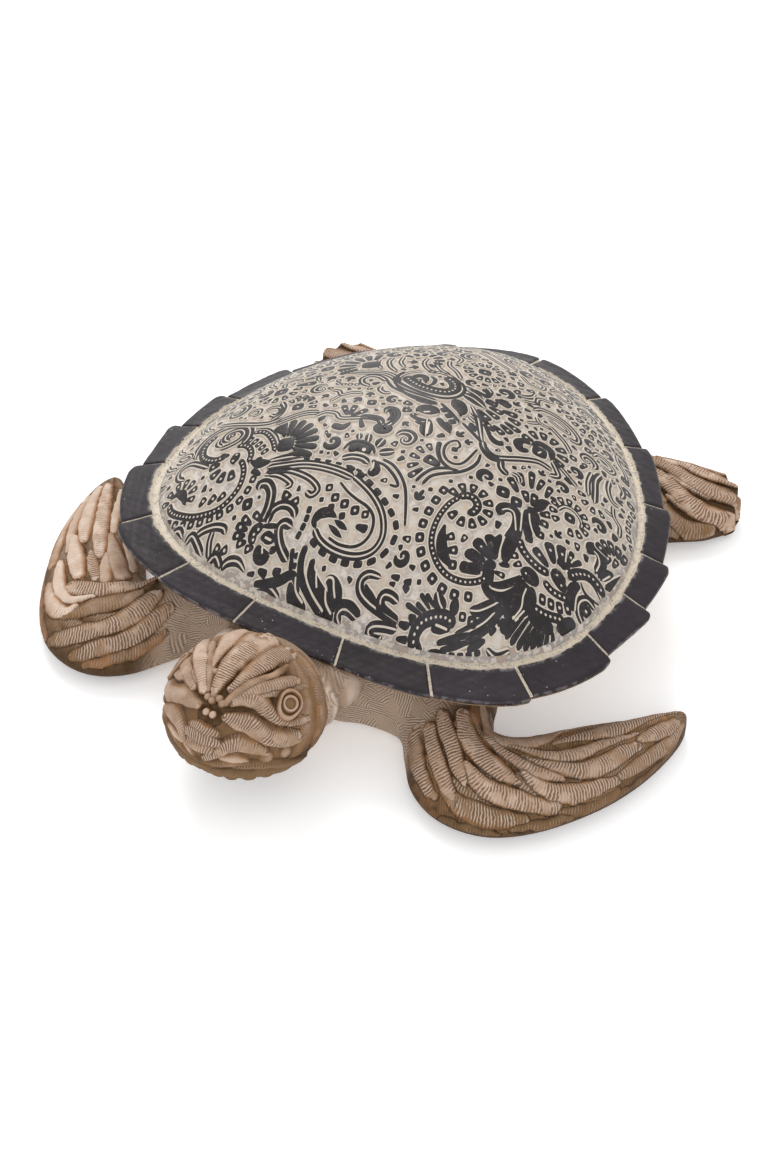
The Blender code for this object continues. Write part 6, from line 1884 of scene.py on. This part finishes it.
def carved_resin():
    """Tan resin, olive brown in its grooves and whitewashed on its crests, hatched across each ribbon."""
    looks = Looks("carved_resin", 0.7)
    crest, tint = looks.attribute("crest"), looks.attribute("tint")
    wash, skin = looks.attribute("wash"), looks.attribute("skin")
    blotch = looks.noise(8.0, 3.0, 0.55)
    patchy = looks.noise(4.5, 3.0, 0.6)
    grain = looks.noise(0.9, 3.0, 0.65)

    # Hatch lines across the ribbons, and hatch in patches of random direction on plain skin
    jittered = looks.plus(looks.attribute("hatch"), looks.noise(2.2, 2.0))
    ribbon_phase = looks.times(jittered, math.tau)
    kept = looks.step(looks.noise(7.0, 3.0, 0.6), 0.4, 0.52)
    patch = looks.cells(9.0)
    chosen = looks.node("ShaderNodeSeparateColor")
    looks.feed(chosen.inputs["Color"], patch.outputs["Color"])
    turn = looks.times(chosen.outputs["Red"], math.tau)
    heading = looks.node("ShaderNodeCombineXYZ")
    looks.feed(heading.inputs["X"], looks.math("COSINE", turn))
    looks.feed(heading.inputs["Y"], looks.times(looks.math("SINE", turn), 0.6))
    looks.feed(heading.inputs["Z"], looks.math("SINE", turn))
    patch_phase = looks.dot(looks.place, heading.outputs["Vector"])
    patch_phase = looks.times(patch_phase, math.tau / (SKIN_HATCH * MM))
    patch_phase = looks.plus(patch_phase, looks.times(looks.noise(5.0, 1.0), 7.0))
    wave = looks.plus(looks.times(looks.math("SINE", ribbon_phase), looks.rest_of(skin)),
                      looks.times(looks.math("SINE", patch_phase), skin))
    wave = looks.step(wave, -0.8, 0.55)
    patches = looks.step(chosen.outputs["Green"], 0.4, 0.44)
    present = looks.math("MAXIMUM", looks.attribute("hatched"), looks.times(looks.times(skin, 0.6), patches))
    present = looks.times(present, looks.plus(0.2, looks.times(kept, 0.8)))
    line = looks.times(looks.rest_of(wave), present)

    raised = looks.plus(crest, looks.times(looks.math("SUBTRACT", patchy, 0.5), 0.3))
    olive = linear(72, 49, 24)
    body = linear(118, 94, 73)
    amber = linear(168, 118, 78)
    white = linear(212, 193, 177)
    base = looks.mix(looks.step(raised, 0.08, 0.5), olive, body)
    bare = looks.rest_of(looks.times(looks.step(wash, 0.05, 0.4), kept))
    bare = looks.times(bare, looks.step(raised, 0.1, 0.5))
    base = looks.mix(looks.times(bare, 0.8), base, linear(108, 79, 41))
    base = looks.mix(looks.times(skin, 0.8), base, linear(172, 151, 132))
    flank = looks.times(looks.times(wash, looks.step(raised, 0.15, 0.5)), 0.85)
    warmth = looks.times(looks.step(tint, 0.5, 0.9), looks.step(blotch, 0.42, 0.6))
    warmed = looks.times(looks.math("MAXIMUM", flank, looks.times(warmth, 0.5)),
                         looks.rest_of(looks.times(skin, 0.75)))
    base = looks.mix(warmed, base, amber)
    amount = looks.plus(looks.times(wash, 0.92), looks.times(looks.math("SUBTRACT", blotch, 0.5), 1.1))
    washed = looks.times(looks.step(raised, 0.36, 0.8), amount, clamp=True)
    washed = looks.times(washed, looks.rest_of(looks.times(line, 0.85)))
    ridge = looks.times(looks.times(wave, present), looks.step(raised, 0.3, 0.6))
    washed = looks.math("MAXIMUM", washed, looks.times(ridge, 0.52))
    colour = looks.mix(washed, base, white)
    colour = looks.mix(looks.times(line, 0.42), colour, olive)
    speck = looks.times(looks.step(grain, 0.6, 0.75), looks.step(raised, 0.2, 0.8))
    colour = looks.mix(looks.times(speck, 0.2), colour, white)
    height = looks.plus(looks.times(line, -0.8), looks.times(grain, 0.4))
    roughness = looks.plus(0.62, looks.times(grain, 0.22))
    return looks.finish(colour, roughness, height, 0.34, 0.25)


def cream_ground():
    """The dome's cream bed, smudged blue grey where the charcoal wash stayed."""
    looks = Looks("cream_ground", 0.7)
    blotch = looks.noise(14.0, 3.0, 0.6)
    streak = looks.noise(3.2, 4.0, 0.65)
    grain = looks.noise(0.9, 3.0, 0.6)
    cream = looks.mix(looks.step(blotch, 0.35, 0.65), linear(187, 177, 165), linear(206, 196, 186))
    smudge = looks.times(looks.step(blotch, 0.44, 0.6), looks.step(streak, 0.42, 0.58))
    colour = looks.mix(looks.times(smudge, 0.65), cream, linear(132, 137, 144))
    foot = looks.times(looks.step(looks.attribute("edge"), 0.95, 0.98), looks.step(streak, 0.42, 0.56))
    colour = looks.mix(looks.times(foot, 0.7), colour, linear(116, 116, 122))
    tan = looks.times(looks.step(streak, 0.5, 0.64), 0.5)
    colour = looks.mix(tan, colour, linear(186, 157, 128))
    colour = looks.mix(looks.times(looks.step(grain, 0.55, 0.75), 0.2), colour, linear(224, 214, 200))
    height = looks.plus(looks.times(grain, 0.5), looks.times(streak, 0.5))
    roughness = looks.plus(0.5, looks.times(grain, 0.25))
    return looks.finish(colour, roughness, height, 0.2, 0.3)


def charcoal_pattern():
    """Charcoal tops over the cream ground, with cream in their cut lines and dusted along their edges."""
    looks = Looks("charcoal_pattern", 0.4)
    streak = looks.noise(3.0, 4.0, 0.65)
    grain = looks.noise(0.7, 3.0, 0.6)
    blotch = looks.noise(14.0, 2.0, 0.5)
    dark = looks.mix(looks.step(streak, 0.35, 0.7), linear(19, 12, 13), linear(34, 26, 28))
    dark = looks.mix(looks.times(looks.step(blotch, 0.55, 0.72), 0.25), dark, linear(70, 70, 76))
    cream = looks.mix(streak, linear(188, 177, 162), linear(210, 199, 186))
    low = looks.rest_of(looks.step(looks.attribute("level"), 0.1, 0.75))
    dust = looks.times(low, 0.55)
    scuff = looks.times(looks.step(grain, 0.58, 0.72), looks.step(streak, 0.5, 0.68))
    pale = looks.math("MAXIMUM", looks.step(looks.attribute("tone"), 0.35, 0.6), dust)
    pale = looks.math("MAXIMUM", pale, looks.times(scuff, 0.4))
    colour = looks.mix(pale, dark, cream)
    height = looks.plus(looks.times(grain, 0.5), looks.times(streak, 0.5))
    roughness = looks.plus(0.36, looks.times(grain, 0.2))
    return looks.finish(colour, roughness, height, 0.12, 0.4)


def slate_ring():
    """Dark slates with pale specks and dusted edges, cream joints and a tan lip below."""
    looks = Looks("slate_ring", 0.4)
    place = looks.attribute("place")
    streak = looks.noise(4.0, 4.0, 0.6)
    grain = looks.noise(0.8, 3.0, 0.6)
    blotch = looks.noise(22.0, 2.0, 0.5)
    stone = looks.mix(looks.step(streak, 0.35, 0.7), linear(21, 14, 19), linear(36, 27, 33))
    stone = looks.mix(looks.times(looks.step(blotch, 0.45, 0.65), 0.4), stone, linear(39, 32, 40))
    tint = looks.times(looks.attribute("tint"), 0.35)
    stone = looks.mix(tint, stone, linear(48, 38, 46))
    speck = looks.cells(2.6)
    bright = looks.rest_of(looks.step(speck.outputs["Distance"], 0.05, 0.12))
    bright = looks.times(bright, looks.step(looks.noise(12.0, 2.0), 0.5, 0.6))
    rim = looks.rest_of(looks.step(place, 0.0, 0.16))
    outer = looks.times(looks.step(place, 0.95, 0.99), 0.3)
    dusted = looks.times(looks.math("MAXIMUM", rim, outer), looks.step(streak, 0.45, 0.62))
    bright = looks.math("MAXIMUM", bright, looks.times(dusted, 0.6))
    stone = looks.mix(bright, stone, linear(182, 176, 172))
    painted = looks.rest_of(looks.step(place, 0.02, 0.05))
    painted = looks.times(painted, looks.step(streak, 0.4, 0.5))
    stone = looks.mix(looks.times(painted, 0.9), stone, linear(196, 184, 164))
    bed = looks.mix(streak, linear(190, 177, 157), linear(218, 206, 186))
    soot = looks.times(looks.step(grain, 0.46, 0.62), looks.step(streak, 0.4, 0.55))
    bed = looks.mix(looks.times(soot, 0.7), bed, linear(108, 106, 110))
    lip = looks.mix(streak, linear(104, 82, 62), linear(156, 130, 106))
    bed = looks.mix(looks.step(place, 1.05, 1.2), bed, lip)
    colour = looks.mix(looks.step(looks.attribute("stone"), 0.4, 0.6), bed, stone)
    height = looks.plus(looks.times(grain, 0.4), looks.times(streak, 0.6))
    roughness = looks.plus(0.34, looks.times(grain, 0.2))
    return looks.finish(colour, roughness, height, 0.22, 0.35)


# The figure

def build_figure():
    resin = carved_resin()
    build_ground(cream_ground())
    build_pattern(charcoal_pattern())
    build_rim(slate_ring())
    build_body(resin)
    build_neck(resin)
    build_tail(resin)
    build_head(resin)
    for side in (1, -1):
        build_front_limb(side, resin)
        build_rear_limb(side, resin)
        build_eye(side, resin)


# Floor, light and camera

def build_floor():
    """A plain pale floor that runs out to the backdrop."""
    mesh = bpy.data.meshes.new("floor")
    corners = [(x * FLOOR_REACH, y * FLOOR_REACH, 0) for x, y in ((-1, -1), (1, -1), (1, 1), (-1, 1))]
    mesh.from_pydata(corners, [], [(0, 1, 2, 3)])
    floor = bpy.data.objects.new("floor", mesh)
    bpy.context.scene.collection.objects.link(floor)
    looks = Looks("pale_floor", 0.8)
    tone = looks.mix(looks.noise(60.0, 2.0), linear(250, 250, 250), linear(253, 253, 253))
    looks.shader.inputs["Emission Color"].default_value = (1.0, 1.0, 1.0, 1.0)
    looks.shader.inputs["Emission Strength"].default_value = 0.25
    mesh.materials.append(looks.finish(tone, 0.8, looks.noise(3.0, 2.0), 0.02, 0.2))


def add_light(name, place, aim, size, power, colour):
    data = bpy.data.lights.new(name, "AREA")
    data.shape = "DISK"
    data.size = size
    data.energy = power
    data.color = colour
    light = bpy.data.objects.new(name, data)
    light.location = place
    light.rotation_euler = (Vector(aim) - Vector(place)).to_track_quat("-Z", "Y").to_euler()
    bpy.context.scene.collection.objects.link(light)


def build_studio():
    bpy.context.scene.view_settings.view_transform = "Standard"
    world = bpy.data.worlds.new("studio")
    bpy.context.scene.world = world
    world.use_nodes = True
    world.node_tree.nodes["Background"].inputs["Color"].default_value = (1.0, 1.0, 1.0, 1.0)
    world.node_tree.nodes["Background"].inputs["Strength"].default_value = WORLD_STRENGTH
    add_light("key", KEY_PLACE, (0.0, 0.0, 0.05), 0.8, KEY_POWER, (1.0, 0.99, 0.97))
    add_light("fill", FILL_PLACE, (0.0, 0.0, 0.03), 1.0, FILL_POWER, (0.97, 0.98, 1.0))


def build_camera():
    """The photograph's viewpoint: about 31 degrees round to the turtle's left and 43 degrees up."""
    turn, lift = math.radians(CAMERA_TURN), math.radians(CAMERA_LIFT)
    back = Vector((math.sin(turn) * math.cos(lift), -math.cos(turn) * math.cos(lift), math.sin(lift)))
    data = bpy.data.cameras.new("photo_view")
    data.lens = CAMERA_LENS
    data.sensor_width = CAMERA_SENSOR
    data.clip_start, data.clip_end = 0.01, 50.0
    camera = bpy.data.objects.new("photo_view", data)
    camera.location = Vector(CAMERA_AIM) + back * CAMERA_DISTANCE
    camera.rotation_mode = "QUATERNION"
    camera.rotation_quaternion = (-back).to_track_quat("-Z", "Y")
    bpy.context.scene.collection.objects.link(camera)
    bpy.context.scene.camera = camera


build_figure()
build_floor()
build_studio()
build_camera()
